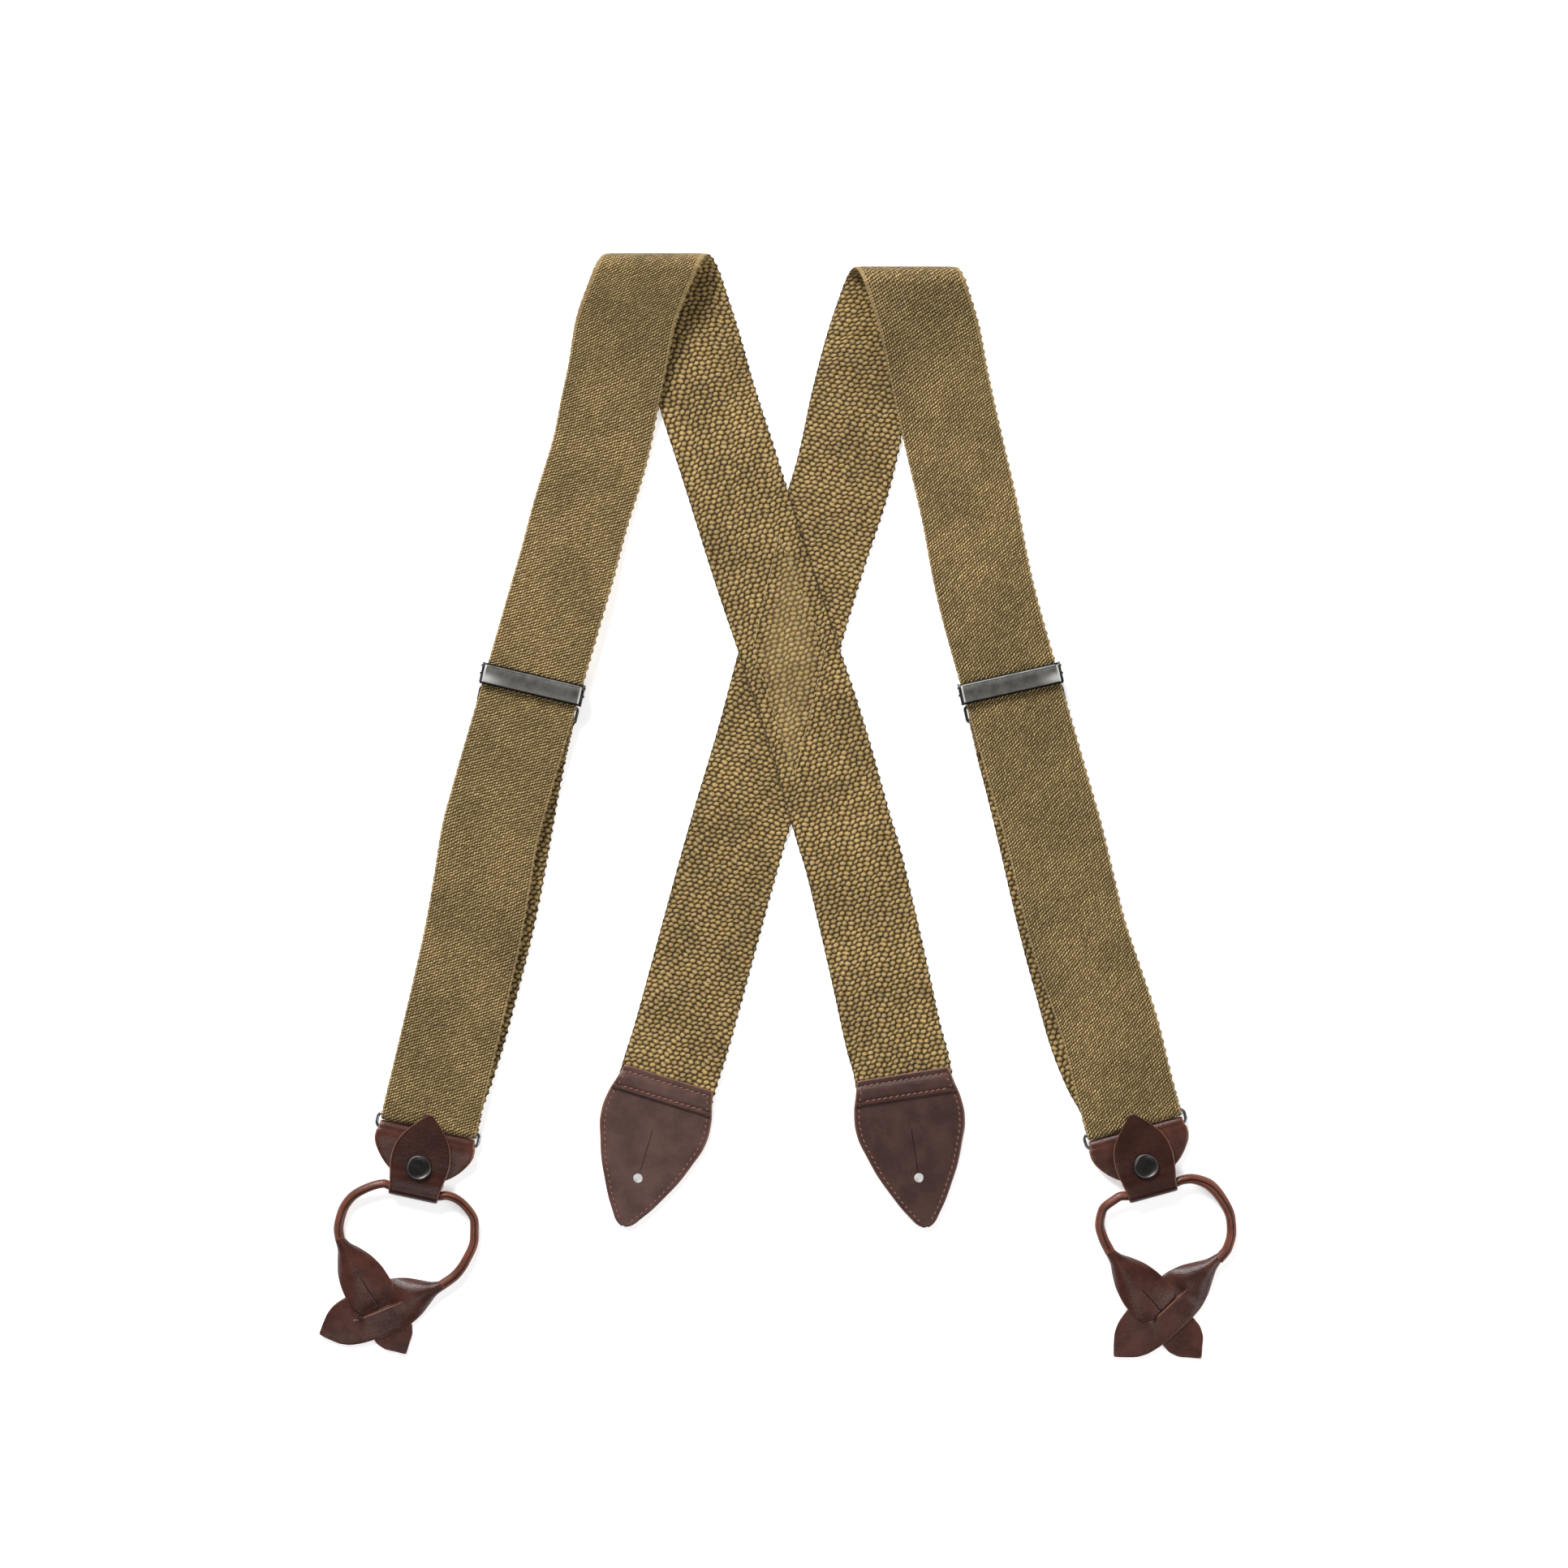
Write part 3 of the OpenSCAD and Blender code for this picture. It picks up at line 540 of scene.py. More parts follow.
def dark_plating(name, dark, light, roughness, highlight_strength=0.0):
    """Plated metal: mottled by clouds about 3 mm across, with fine brushing along one way. The attribute edge
    paints light: at 1 a pale, less metallic painted highlight, at -1 a black painted shade."""
    made, tree, surface = new_material(name, Specular_IOR_Level=0.4, Metallic=0.85)
    place = millimetres(tree)
    mottle = noise(tree, place, 0.28, 5, 0.6)
    brush = noise(tree, node(tree, "Mapping", {0: place, 3: (0.4, 3.0, 3.0)}), 2.0, 3)
    edge = node(tree, "Attribute", out=2, attribute_name="edge")
    plating = mixed(tree, ranged(tree, mottle, 0.3, 0.7), dark, light)
    # painted highlight where edge is above 0, scaled by the highlight strength; painted black shade below 0
    painted_highlight = calc(tree, "MULTIPLY", ranged(tree, edge, 0.0, 1.0), highlight_strength)
    highlit = mixed(tree, painted_highlight, plating, (0.72, 0.71, 0.68, 1))
    lit_and_shaded = mixed(tree, ranged(tree, edge, 0.0, -1.0), highlit, (0.006, 0.006, 0.006, 1))
    join(tree, lit_and_shaded, surface["Base Color"])
    if highlight_strength:
        join(tree, calc(tree, "MULTIPLY_ADD", painted_highlight, -0.6, 0.85), surface["Metallic"])
    rough = calc(tree, "MULTIPLY_ADD", mottle, 0.18, roughness - 0.09)
    join(tree, rough, surface["Roughness"])
    brushed = node(tree, "Bump", {"Strength": 0.35, "Distance": 0.00004, "Height": brush})
    join(tree, brushed, surface["Normal"])
    return made


def dress(node_name, material):
    """Gives a CAD node a material of its own in place of its plain one."""
    part = frame["nodes"][node_name]
    part.data.materials.clear()
    part.data.materials.append(material)


COVER_PLATING = dark_plating("cover_plating", (0.104, 0.10, 0.09, 1), (0.16, 0.154, 0.14, 1), 0.42, 0.8)
FRAME_PLATING = dark_plating("frame_plating", (0.03, 0.03, 0.032, 1), (0.09, 0.088, 0.085, 1), 0.4)
PIN_STEEL = dark_plating("pin_steel", (0.14, 0.14, 0.145, 1), (0.3, 0.3, 0.3, 1), 0.3)


def plate_ring(inset):
    """Section of the cover plate in y and z: two arcs about one centre, joined by round lips, drawn in by
    the inset all round."""
    middle = COVER_RADIUS - COVER_THICK / 2
    lip = COVER_THICK / 2 - inset
    reach = math.asin(4.3 / COVER_RADIUS) - (lip + inset) / middle
    sweep = np.linspace(-reach, reach, 25)
    cap = np.linspace(0, math.pi, 7)[1:-1]
    top = np.column_stack([np.sin(sweep), np.cos(sweep)]) * (middle + lip)
    right_centre = np.array([math.sin(reach), math.cos(reach)]) * middle
    outward = np.array([[math.sin(reach), math.cos(reach)], [math.cos(reach), -math.sin(reach)]])
    right = right_centre + lip * (np.cos(cap)[:, None] * outward[0] + np.sin(cap)[:, None] * outward[1])
    under = np.column_stack([np.sin(-sweep), np.cos(sweep)]) * (middle - lip)
    left = right[::-1] * [-1, 1]
    return np.vstack([top, right, under, left]) + COVER_CENTRE


def carried_across(section_of, stations):
    """Rings of a y, z section at places across, each with its own inset: stations are (place, inset)."""
    return np.stack([np.column_stack([np.full(len(section_of(i)), x), section_of(i)]) for x, i in stations])


def rounded_stations(half, bevel):
    """Stations from end to end whose inset follows a quarter circle at both ends."""
    steps = np.linspace(0, math.pi / 2, 4)
    left = [(-half + bevel * (1 - math.cos(t)), bevel * (1 - math.sin(t))) for t in steps]
    middle = [(x, 0.0) for x in np.linspace(-half + bevel, half - bevel, 64)[1:-1]]
    return left + middle + [(-x, i) for x, i in left[::-1]]


def disc_ring(y, z, radius, points=20):
    """Round section about a centre in y and z, as a function of its inset."""
    turn = np.arange(points) * 2 * math.pi / points
    circle = np.column_stack([np.cos(turn), np.sin(turn)])
    return lambda inset: np.array([y, z]) + (radius - inset) * circle


for side in SIDES:
    place = ADJUSTER[side]
    plate = carried_across(plate_ring, rounded_stations(COVER_HALF, 0.3))
    u, y = plate[..., 0], plate[..., 1]
    hand = -1 if side == "left" else 1
    # painted light: a highlight patch on the outer end's lower half, highlight lines at both ends, and black
    # shade along the top and bottom edges
    plate_light_and_shade = 0.75 * np.clip((hand * u - 5) / 13, 0, 1) ** 1.6 * np.exp(-((y + 1.4) / 2.4) ** 2)
    plate_light_and_shade = np.where(np.abs(u) > 18.9, 1.0, plate_light_and_shade)
    plate_light_and_shade = np.where(np.abs(y - COVER_CENTRE[0]) > 3.4, -1.0, plate_light_and_shade)
    knuckle = carried_across(disc_ring(HINGE_Y, HINGE_Z, KNUCKLE_RADIUS), rounded_stations(18.8, 0.2))
    x = (np.arange(TOOTH_COUNT) - (TOOTH_COUNT - 1) / 2) * TOOTH_PITCH
    wedge = np.array([[-0.5, 2.3, 8.3], [0.5, 2.3, 8.3], [0.5, 1.3, 8.3], [-0.5, 1.3, 8.3]])
    point = np.array([[-0.2, 2.0, 6.8], [0.2, 2.0, 6.8], [0.2, 1.6, 6.8], [-0.2, 1.6, 6.8]])
    teeth = np.stack([wedge, point])[None] + x[:, None, None, None] * [1, 0, 0]
    grids = [set_in(place, g) for g in (plate, knuckle, teeth)]
    painted_light = [plate_light_and_shade, np.zeros(knuckle.shape[:2]), np.zeros(teeth.shape[:3])]
    cover = new_object(f"{side}_cover_plate", grids, COVER_PLATING, sharp=55, edge=painted_light)
    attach(cover, f"{side}_cover")
    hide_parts(f"{side}_adjuster_cover")
    dress(f"{side}_adjuster_frame", FRAME_PLATING)
    dress(f"{side}_wire_loop", FRAME_PLATING)
    dress(f"{side}_hinge_pin", PIN_STEEL)

# ---------------------------------------------------------------------------------------------------------
# The oval ring of dark nickel wire that joins the webbing to the leather. Its upper bar carries the turn of
# the webbing and its lower bar the fold of the yoke.

RING_NICKEL = dark_plating("ring_nickel", (0.10, 0.10, 0.105, 1), (0.26, 0.26, 0.265, 1), 0.2)
for side in SIDES:
    dress(f"{side}_oval_ring", RING_NICKEL)

# ---------------------------------------------------------------------------------------------------------
# The yoke and its tongue: reddish brown leather cut with pale raw edges. The yoke folds over the ring's
# lower bar; the tongue comes from behind it, folds round the button loop and snaps down in front.

ROLL_Y, ROLL_Z = -23.6, 3.75
YOKE_FOLD_RADIUS, YOKE_FOLD_RISE, TONGUE_FOLD_RADIUS = 1.3, 2.45, 2.55
YOKE_THICK, TONGUE_THICK = 1.15, 1.15
YOKE_SHAPE = [
    (-20.6, 0.3), (-20.3, 2.6), (-19.6, 5.6), (-18.5, 8.7), (-16.6, 11.9), (-14.2, 14.8), (-12.3, 16.5),
    (-10.5, 17.8), (-8, 19.2), (-5.5, 19.85), (-3.2, 19.8), (-2.2, 19.3), (0.6, 19.0),
]


def leather(name, deep, bright, roughness=0.31, bump=1.0):
    """Smooth calf: two browns in soft clouds, a fine pebbled grain, faint creases, a paler fibrous raw edge
    where the attribute raw is 1 and painted black shade in cracks, grooves and dents where it is -1."""
    made, tree, surface = new_material(name, Specular_IOR_Level=0.27)
    place = millimetres(tree)
    clouds = noise(tree, place, 0.11, 4, 0.6)
    fine = noise(tree, place, 0.9, 4, 0.65)
    pebble = node(tree, "TexVoronoi", {"Vector": place, "Scale": 1.9, "Randomness": 1.0})
    crease = noise(tree, node(tree, "Mapping", {0: place, 3: (0.35, 1.1, 1.0)}), 0.55, 5, 0.7)
    raw = node(tree, "Attribute", out=2, attribute_name="raw")
    hide = mixed(tree, ranged(tree, clouds, 0.32, 0.68), deep, bright)
    worn = mixed(tree, ranged(tree, fine, 0.5, 0.8, 0.0, 0.3), hide, bright)
    fibre = mixed(tree, fine, (0.15, 0.062, 0.036, 1), (0.29, 0.14, 0.088, 1))
    edged = mixed(tree, ranged(tree, raw, 0.15, 0.6), worn, fibre)
    # painted shade: black where raw is below 0, in cracks, grooves and dents
    crack_shaded = mixed(tree, ranged(tree, raw, 0.0, -0.8), edged, (0.010, 0.004, 0.003, 1))
    join(tree, crack_shaded, surface["Base Color"])
    rough = calc(tree, "MULTIPLY_ADD", fine, 0.2, roughness - 0.1)
    join(tree, calc(tree, "MAXIMUM", rough, calc(tree, "MULTIPLY", raw, 0.8)), surface["Roughness"])
    grain = node(tree, "Bump", {"Strength": 0.3 * bump, "Distance": 0.00012, "Height": pebble})
    creases = {"Strength": 0.4 * bump, "Distance": 0.0003, "Height": crease, "Normal": grain}
    join(tree, node(tree, "Bump", creases), surface["Normal"])
    return made


def hide_shell(middle, share, thickness, ends=30.0):
    """Closed hide round a middle surface of rows along by columns across, whose columns lie at the given
    shares, -1 to 1, of the half width. The thickness goes along the surface normal and falls as the root
    of 1 - |share|^24 at the sides and in the same way at both ends. Gives rings and the raw edge."""
    normal = np.cross(np.gradient(middle, axis=1), np.gradient(middle, axis=0))
    normal /= np.maximum(np.linalg.norm(normal, axis=2), 1e-9)[..., None]
    run = np.linspace(-1, 1, len(middle))
    to_ends = np.sqrt(1 - np.abs(run) ** ends * 0.96)
    body = np.sqrt(np.clip(1 - np.abs(share) ** 24, 0, 1))[None] * to_ends[:, None]
    offset = normal * (body * thickness / 2)[..., None]
    rings = np.concatenate([middle + offset, (middle - offset)[:, -2:0:-1]], axis=1)
    raw = np.concatenate([1 - body, (1 - body)[:, -2:0:-1]], axis=1)
    return rings, raw


def folded_strip(place, side_view, half_width, columns=41):
    """Middle surface of a strip: a side view in y and z carried across, as wide at each point as the half
    width there. Columns bunch toward the edges as a sine."""
    share = np.sin(np.linspace(-math.pi / 2, math.pi / 2, columns))
    across = half_width[:, None] * share
    local = np.stack([across, *np.broadcast_arrays(side_view[:, 1:2], across)[:1],
                      *np.broadcast_arrays(side_view[:, 2:3], across)[:1]], -1)
    return set_in(place, local), share


def bend(centre_y, centre_z, radius, first, last, step=15):
    """Points on a circle in y and z from one angle to another, 0 toward +y and 90 up."""
    turn = np.radians(np.arange(first, last + np.sign(last - first), step * np.sign(last - first)))
    return [(0, centre_y + radius * math.cos(t), centre_z + radius * math.sin(t)) for t in turn]


YOKE_LEATHER = leather("yoke_leather", (0.046, 0.0145, 0.0092, 1), (0.076, 0.025, 0.016, 1))
TONGUE_LEATHER = leather("tongue_leather", (0.0225, 0.0056, 0.0034, 1), (0.039, 0.0112, 0.0072, 1), 0.31)
TONGUE_SHAPE = [
    (-26.5, 9.75), (-23.6, 9.85), (-19, 10.7), (-14, 11.6), (-11, 11.75), (-7.5, 11.35), (-4, 10.2),
    (-2, 9.1), (0.5, 7.2), (3, 5.0), (4.9, 3.1), (6.4, 1.5), (7.5, 0.2),
]

for side in SIDES:
    place = CLIP[side]
    view = [(0, -20.6, 1.3), (0, -14, 1.3), (0, -6, 1.2)]
    view += bend(BAR_LOW, BAR_Z, YOKE_FOLD_RISE, -90, 90)
    flatten = YOKE_FOLD_RADIUS / YOKE_FOLD_RISE
    straight = BAR_LOW - 0.1
    view = [(0, y, z if y < straight else BAR_Z + (z - BAR_Z) * flatten) for _, y, z in view]
    view += [(0, -2.9, 3.9), (0, -4.3, 4.12), (0, -6, 4.0), (0, -8.6, 3.5), (0, -11.5, 2.85), (0, -14.6, 2.48),
             (0, -17, 2.42), (0, -20.6, 2.4)]
    view = smooth_path(view, 0.35)
    outline = smooth_path([(y, half, 0) for y, half in YOKE_SHAPE], 0.2)
    middle, share = folded_strip(place, view, np.interp(view[:, 1], outline[:, 0], outline[:, 1]))
    rings, raw = hide_shell(middle, share, YOKE_THICK)
    yoke = new_object(f"{side}_yoke_leather", [rings], YOKE_LEATHER, raw=[raw])
    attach(yoke, f"{side}_yoke_body")
    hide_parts(f"{side}_yoke")

    view = [(0, -19.0, 1.35), (0, -21.5, 1.24)] + bend(ROLL_Y, ROLL_Z, TONGUE_FOLD_RADIUS, 270, 105)
    view += [(0, -22.5, 6.33), (0, -21.2, 6.52), (0, -19.8, 6.58), (0, -18.4, 6.42), (0, -16.4, 6.05),
             (0, -14, 5.9), (0, -10, 5.95), (0, -4, 5.98), (0, 2, 5.92), (0, 7.5, 5.75)]
    view = smooth_path(view, 0.3)
    shape = np.array(TONGUE_SHAPE)
    outline = smooth_path(np.column_stack([shape, 0 * shape[:, 0]]), 0.2)
    half = np.interp(view[:, 1], outline[:, 0], outline[:, 1])
    middle, share = folded_strip(place, view, half)
    rings, raw = hide_shell(middle, share, TONGUE_THICK)
    tongue = new_object(f"{side}_tongue_leather", [rings], TONGUE_LEATHER, raw=[raw])
    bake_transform(tongue)
    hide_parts(f"{side}_tongue")

# ---------------------------------------------------------------------------------------------------------
# The snap fastener: a black japanned cap turned with a raised rim on the tongue, its socket behind it, and
# the stud and post riveted through the yoke.

SNAP_Y, CAP_LEAN = -14.2, math.radians(7)
CAP_PROFILE = [
    (0.05, 7.66), (2.6, 7.68), (3.9, 7.74), (4.2, 7.92), (4.42, 8.0), (4.62, 7.94), (4.82, 7.7), (4.9, 7.3),
    (4.9, 6.75), (4.8, 6.5), (4.3, 6.36), (0.05, 6.36),
]


def turned(place, y, profile, lean=0.0, points=64):
    """Rings of a turned piece: each profile point, radius and height, swept round an upright axis. The lean
    lowers the +y side in proportion to its distance from the axis."""
    turn = np.arange(points) * 2 * math.pi / points
    profile = np.array(profile, float)
    forward = profile[:, :1] * np.sin(turn)
    local = np.stack([profile[:, :1] * np.cos(turn), y + forward * math.cos(lean) + (
        profile[:, 1:] - profile[-1, 1]) * math.sin(lean), profile[:, 1:] - forward * math.sin(lean)], -1)
    return set_in(place, local)


CAP_JAPAN = dark_plating("cap_japan", (0.024, 0.021, 0.020, 1), (0.044, 0.040, 0.037, 1), 0.34, 0.1)
for side in SIDES:
    rings = turned(CLIP[side], SNAP_Y + 0.2, CAP_PROFILE, CAP_LEAN)
    # a painted highlight along the cap's raised rim
    rim_highlight = np.broadcast_to(np.array([0, 0, 0, 0.6, 1, 0.7, 0.2, 0, 0, 0, 0, 0])[:, None], rings.shape[:2])
    cap = new_object(f"{side}_cap", [rings], CAP_JAPAN, sharp=60, edge=[rim_highlight])
    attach(cap, f"{side}_tongue_body")
    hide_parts(f"{side}_snap_cap")
    dress(f"{side}_snap_socket", FRAME_PLATING)
    dress(f"{side}_snap_stud", RING_NICKEL)
    dress(f"{side}_snap_post", FRAME_PLATING)

# ---------------------------------------------------------------------------------------------------------
# The button loops: one piece of leather each, rolled round and run through the fold of the tongue
# and opened at both ends into leaves. One leaf is pushed through a slit in the other to hold the loop.

ROLL = {
    "left": [
        (-172, -170.8, 1.9), (-172.6, -166.6, 1.9), (-171.3, -160.1, 2), (-167.6, -154.1, 2.5),
        (-161.4, -150.3, 3.3), (-156.4, -148.7, 3.7),
    ],
    "right": [
        (131.2, -175.8, 1.9), (128.2, -169.8, 1.9), (126.9, -164.8, 2.1), (128, -159, 2.8),
        (132.3, -155.1, 3.5),
    ],
}
ROLL_END = {
    "left": [
        (-127.7, -153.8, 3.6), (-122.3, -157.8, 2.9), (-119.1, -163.9, 2.1), (-119.2, -170.3, 1.9),
        (-122.6, -179.1, 1.9), (-126.6, -184.6, 1.9), (-132.4, -188.9, 1.9),
    ],
    "right": [
        (162.6, -146.6, 3.6), (168.8, -148.3, 3), (174.9, -154.5, 2.2), (178.5, -162.5, 1.9),
        (178.8, -167.5, 1.9), (177.3, -173.8, 1.9), (173.6, -178.6, 1.9),
    ],
}
ROLL_RADII = {"left": (2.0, 1.85, 1.7, 1.75, 1.7, 1.8, 2.0), "right": (2.1, 1.8, 1.85, 1.7, 2.3, 1.85, 2.0)}
LEAVES = {
    "left": [((-172, -170.8), (-146.2, -215.8)), ((-132.4, -188.9), (-180.2, -208))],
    "right": [((131.2, -175.8), (166.9, -217.5)), ((173.3, -178.2), (132.6, -216.8))],
}
LEAF_THICK = 1.05
# share of the length, half the width of the flat hide, angle its edge is curled to, height of the crown
THROUGH_LEAF = [
    (-0.03, 3.4, 160, 3.1), (0.05, 4.4, 118, 3.7), (0.13, 6.5, 76, 4.3), (0.24, 8.7, 46, 4.5),
    (0.36, 9.7, 30, 4.1), (0.46, 9.7, 17, 3.3), (0.53, 8.9, 9, 2.35), (0.57, 8.1, 4, 1.45),
    (0.62, 7.9, 3, 0.72), (0.7, 8.0, 2, 0.56), (0.8, 8.1, 3, 0.6), (0.88, 6.6, 4, 0.75),
    (0.95, 3.0, 3, 0.8), (1, 0.25, 1, 0.75),
]
SLIT_LEAF = [
    (-0.03, 3.4, 160, 3.1), (0.05, 4.4, 116, 3.7), (0.13, 6.5, 78, 4.1), (0.23, 8.9, 48, 3.9),
    (0.34, 10.1, 24, 2.9), (0.44, 10.3, 9, 2.05), (0.56, 10.2, 6, 1.85), (0.68, 9.9, 6, 1.7),
    (0.79, 8.9, 7, 1.35), (0.87, 7.0, 6, 1.15), (0.94, 3.7, 4, 1.05), (1, 0.25, 1, 0.95),
]
SLIT_FIRST, SLIT_LAST, SLIT_WIDE, SLIT_HOLE, SLIT_HELD = 18.5, 34.5, 0.12, 0.95, 1.6
SLIT_SINK, SLIT_LIFT = 1.2, 1.0


def leaf(start, tip, rows):
    """Middle surface of a leaf. Its section is an arc of the hide's own width whose edges are turned down by
    the curl angle: tight at the throat, nearly flat toward the tip."""
    start, tip = np.array(start), np.array(tip)
    reach = np.linalg.norm(tip - start)
    along = (tip - start) / reach
    across = np.array([along[1], -along[0]])
    rows = np.array(rows, float)
    track = np.column_stack([rows[:, 0] * reach, 0 * rows[:, 0], 0 * rows[:, 0], rows[:, 1:]])
    track = smooth_path(track, 0.45)
    run, half, curl, crown = track[:, 0], track[:, 3], np.radians(track[:, 4]), track[:, 5]
    share = np.sin(np.linspace(-math.pi / 2, math.pi / 2, 85))
    share = np.sign(share) * np.abs(share) ** 1.5
    radius = (half / curl)[:, None]
    out = radius * np.sin(curl[:, None] * share)
    up = crown[:, None] - radius * (1 - np.cos(curl[:, None] * share))
    plan = start + run[:, None, None] * along + out[..., None] * across
    return np.concatenate([plan, up[..., None]], -1), share


def part_slit(piece, start, tip, opened):
    """Works a finished leaf along its slit. An open slit is a step of tanh(place across): the near lip sinks
    and the far lip lifts, both fading away from it, the lip shows raw and a dent ends it, painted black as
    shade. A shut slit is a fine groove painted black as shade."""
    mesh = piece.data
    points = np.empty(len(mesh.vertices) * 3, np.float32)
    mesh.vertices.foreach_get("co", points)
    points = points.reshape(-1, 3)
    raw = np.empty(len(points), np.float32)
    mesh.attributes["raw"].data.foreach_get("value", raw)
    start, tip = np.array(start), np.array(tip)
    along = (tip - start) / np.linalg.norm(tip - start)
    across = np.array([along[1], -along[0]])
    place = points[:, :2] / MM - start
    run, out = place @ along, place @ across
    window = np.exp(-((run - (SLIT_FIRST + SLIT_LAST) / 2) / 8.9) ** 6)
    if opened:
        rise = 0.5 - 0.5 * np.tanh(out / 0.2)
        lift = rise * SLIT_LIFT * np.exp(-(out / 6.0) ** 2)
        lift -= (1 - rise) * SLIT_SINK * np.exp(-(out / 12.0) ** 2)
        points[:, 2] += window * lift * MM
        dent = np.exp(-((run - SLIT_LAST) ** 2 + out ** 2) / SLIT_HOLE ** 2)
        points[:, 2] -= 0.4 * dent * MM
        # the dent's raw of -1.2 paints black shade in it
        raw = np.maximum(raw, 0.42 * window * np.exp(-((out + 0.15) / 0.55) ** 2)) - 1.2 * dent
    else:
        groove = window * np.exp(-(out / 0.16) ** 2)
        points[:, 2] -= 0.25 * groove * MM
        # the groove's raw down to -1 paints black shade in it
        raw = raw - groove
    mesh.vertices.foreach_set("co", points.ravel())
    mesh.attributes["raw"].data.foreach_set("value", raw.astype(np.float32))
    mesh.update()


def slit_cutter(start, tip):
    """Closed box for an open slit, from below the leaf to above it, a little short of both its ends."""
    start, tip = np.array(start), np.array(tip)
    along = (tip - start) / np.linalg.norm(tip - start)
    across = np.array([along[1], -along[0]])
    first, last = SLIT_FIRST + SLIT_HELD, SLIT_LAST - SLIT_HELD
    corners = np.array([(first, -1), (last, -1), (last, 1), (first, 1)])
    plan = start + corners[:, :1] * along + corners[:, 1:] * SLIT_WIDE / 2 * across
    return np.stack([np.column_stack([plan, np.full(len(plan), z)]) for z in (-3.0, 9.0)])


def cut(piece, cutters):
    """Takes each closed cutter out of a piece for good."""
    for grid in cutters:
        tool = new_object("cutter", [grid], piece.data.materials[0])
        modifier = piece.modifiers.new("cut", "BOOLEAN")
        modifier.operation = "DIFFERENCE"
        modifier.solver = "EXACT"
        modifier.object = tool
        evaluated = piece.evaluated_get(bpy.context.evaluated_depsgraph_get())
        mesh = bpy.data.meshes.new_from_object(evaluated)
        piece.modifiers.clear()
        piece.data = mesh
        bpy.data.objects.remove(tool)


def rolled(points, radii):
    """Rings of the rolled leather: a round section with one thin ridge beside a groove, where the free
    edge of the hide lies, which turns slowly about it. The radii are spread evenly along it. Gives rings
    and raw: raw edge colour on the ridge and painted black shade in the groove."""
    tangent = np.gradient(points, axis=0)
    tangent /= np.linalg.norm(tangent, axis=1)[:, None]
    beside = np.column_stack([-tangent[:, 1], tangent[:, 0], 0 * tangent[:, 0]])
    beside /= np.linalg.norm(beside, axis=1)[:, None]
    above = np.cross(tangent, beside)
    turn = np.arange(48) * 2 * math.pi / 48
    run = np.linspace(0, 1, len(points))[:, None]
    seam = math.radians(60) + 0.5 * np.sin(run * 5)
    off = np.mod(turn[None] - seam + math.pi, 2 * math.pi) - math.pi
    radius = np.interp(run, np.linspace(0, 1, len(radii)), radii)
    girth = radius + 0.12 * np.exp(-(off / 0.4) ** 2) - 0.5 * np.exp(-((off - 0.6) / 0.19) ** 2)
    rings = points[:, None] + girth[..., None] * (
        np.cos(turn)[None, :, None] * beside[:, None] + np.sin(turn)[None, :, None] * above[:, None])
    # raw: 0.3 of raw edge colour on the ridge, -0.8 of painted shade in the groove
    return rings, 0.3 * np.exp(-(off / 0.25) ** 2) - 0.8 * np.exp(-((off - 0.6) / 0.17) ** 2)


ROLL_LEATHER = leather("roll_leather", (0.092, 0.027, 0.0155, 1), (0.155, 0.047, 0.027, 1), 0.32)
LEAF_LEATHER = leather("leaf_leather", (0.033, 0.0095, 0.0066, 1), (0.066, 0.0225, 0.0160, 1), 0.32, 1.3)

for side in SIDES:
    lift = (0.4, 0.9) if side == "left" else (0.6, 0.4)
    inside = set_in(CLIP[side], [
        (-12.2, ROLL_Y + lift[0], ROLL_Z), (-9.9, ROLL_Y + 0.06, ROLL_Z), (0, ROLL_Y, ROLL_Z),
        (9.9, ROLL_Y + 0.06, ROLL_Z), (12.2, ROLL_Y + lift[1], ROLL_Z)])
    points = smooth_path(np.vstack([ROLL[side], inside, ROLL_END[side]]), 0.8)
    rings, raw = rolled(points, ROLL_RADII[side])
    roll = new_object(f"{side}_roll", [rings], ROLL_LEATHER, raw=[raw])
    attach(roll, f"{side}_loop")
    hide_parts(f"{side}_button_loop")
    for name, ends, rows, opened in (
            ("through_leaf", LEAVES[side][0], THROUGH_LEAF, False),
            ("slit_leaf", LEAVES[side][1], SLIT_LEAF, True)):
        middle, share = leaf(*ends, rows)
        rings, raw = hide_shell(middle, share, LEAF_THICK)
        piece = new_object(f"{side}_{name}", [rings], LEAF_LEATHER, raw=[raw])
        if opened:
            cut(piece, [slit_cutter(*ends)])
        part_slit(piece, *ends, opened)
        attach(piece, f"{side}_loop")

# ---------------------------------------------------------------------------------------------------------
# The back tabs: a leather face over a leather lining with the end of the strap sewn in between. Reddish
# thread runs round the edge and twice across the top, and a slit ends in the button hole.

TAB_PLACE = {"left": (49.3, -105.4, 9.0), "right": (-42.6, -106.9, -17.1)}
TAB_SHAPE = [
    (0, 18.1), (6, 19.6), (12, 21.2), (18, 21.8), (23, 21.3), (30, 19.1), (38, 16.2), (46, 12.2),
    (52, 8.9), (57, 5.5), (59, 4.1), (60.2, 2.7), (60.8, 1.3), (61, 0.12),
]
TAB_LENGTH = TAB_SHAPE[-1][0]
TAB_HOLE_Y, TAB_HOLE_RADIUS, TAB_SLIT_TOP = -41.5, 1.85, -22.0
TAB_STEP = 9.8
TAB_ROWS = (-2.4, -8.4)
EDGE_MARGIN = 2.0


def tab_frame(x, y, turn):
    """Origin, across and along directions of a piece turned about the upright axis."""
    turn = math.radians(turn)
    return (np.array([x, y, 0.0]), np.array([math.cos(turn), math.sin(turn), 0.0]),
            np.array([-math.sin(turn), math.cos(turn), 0.0]))


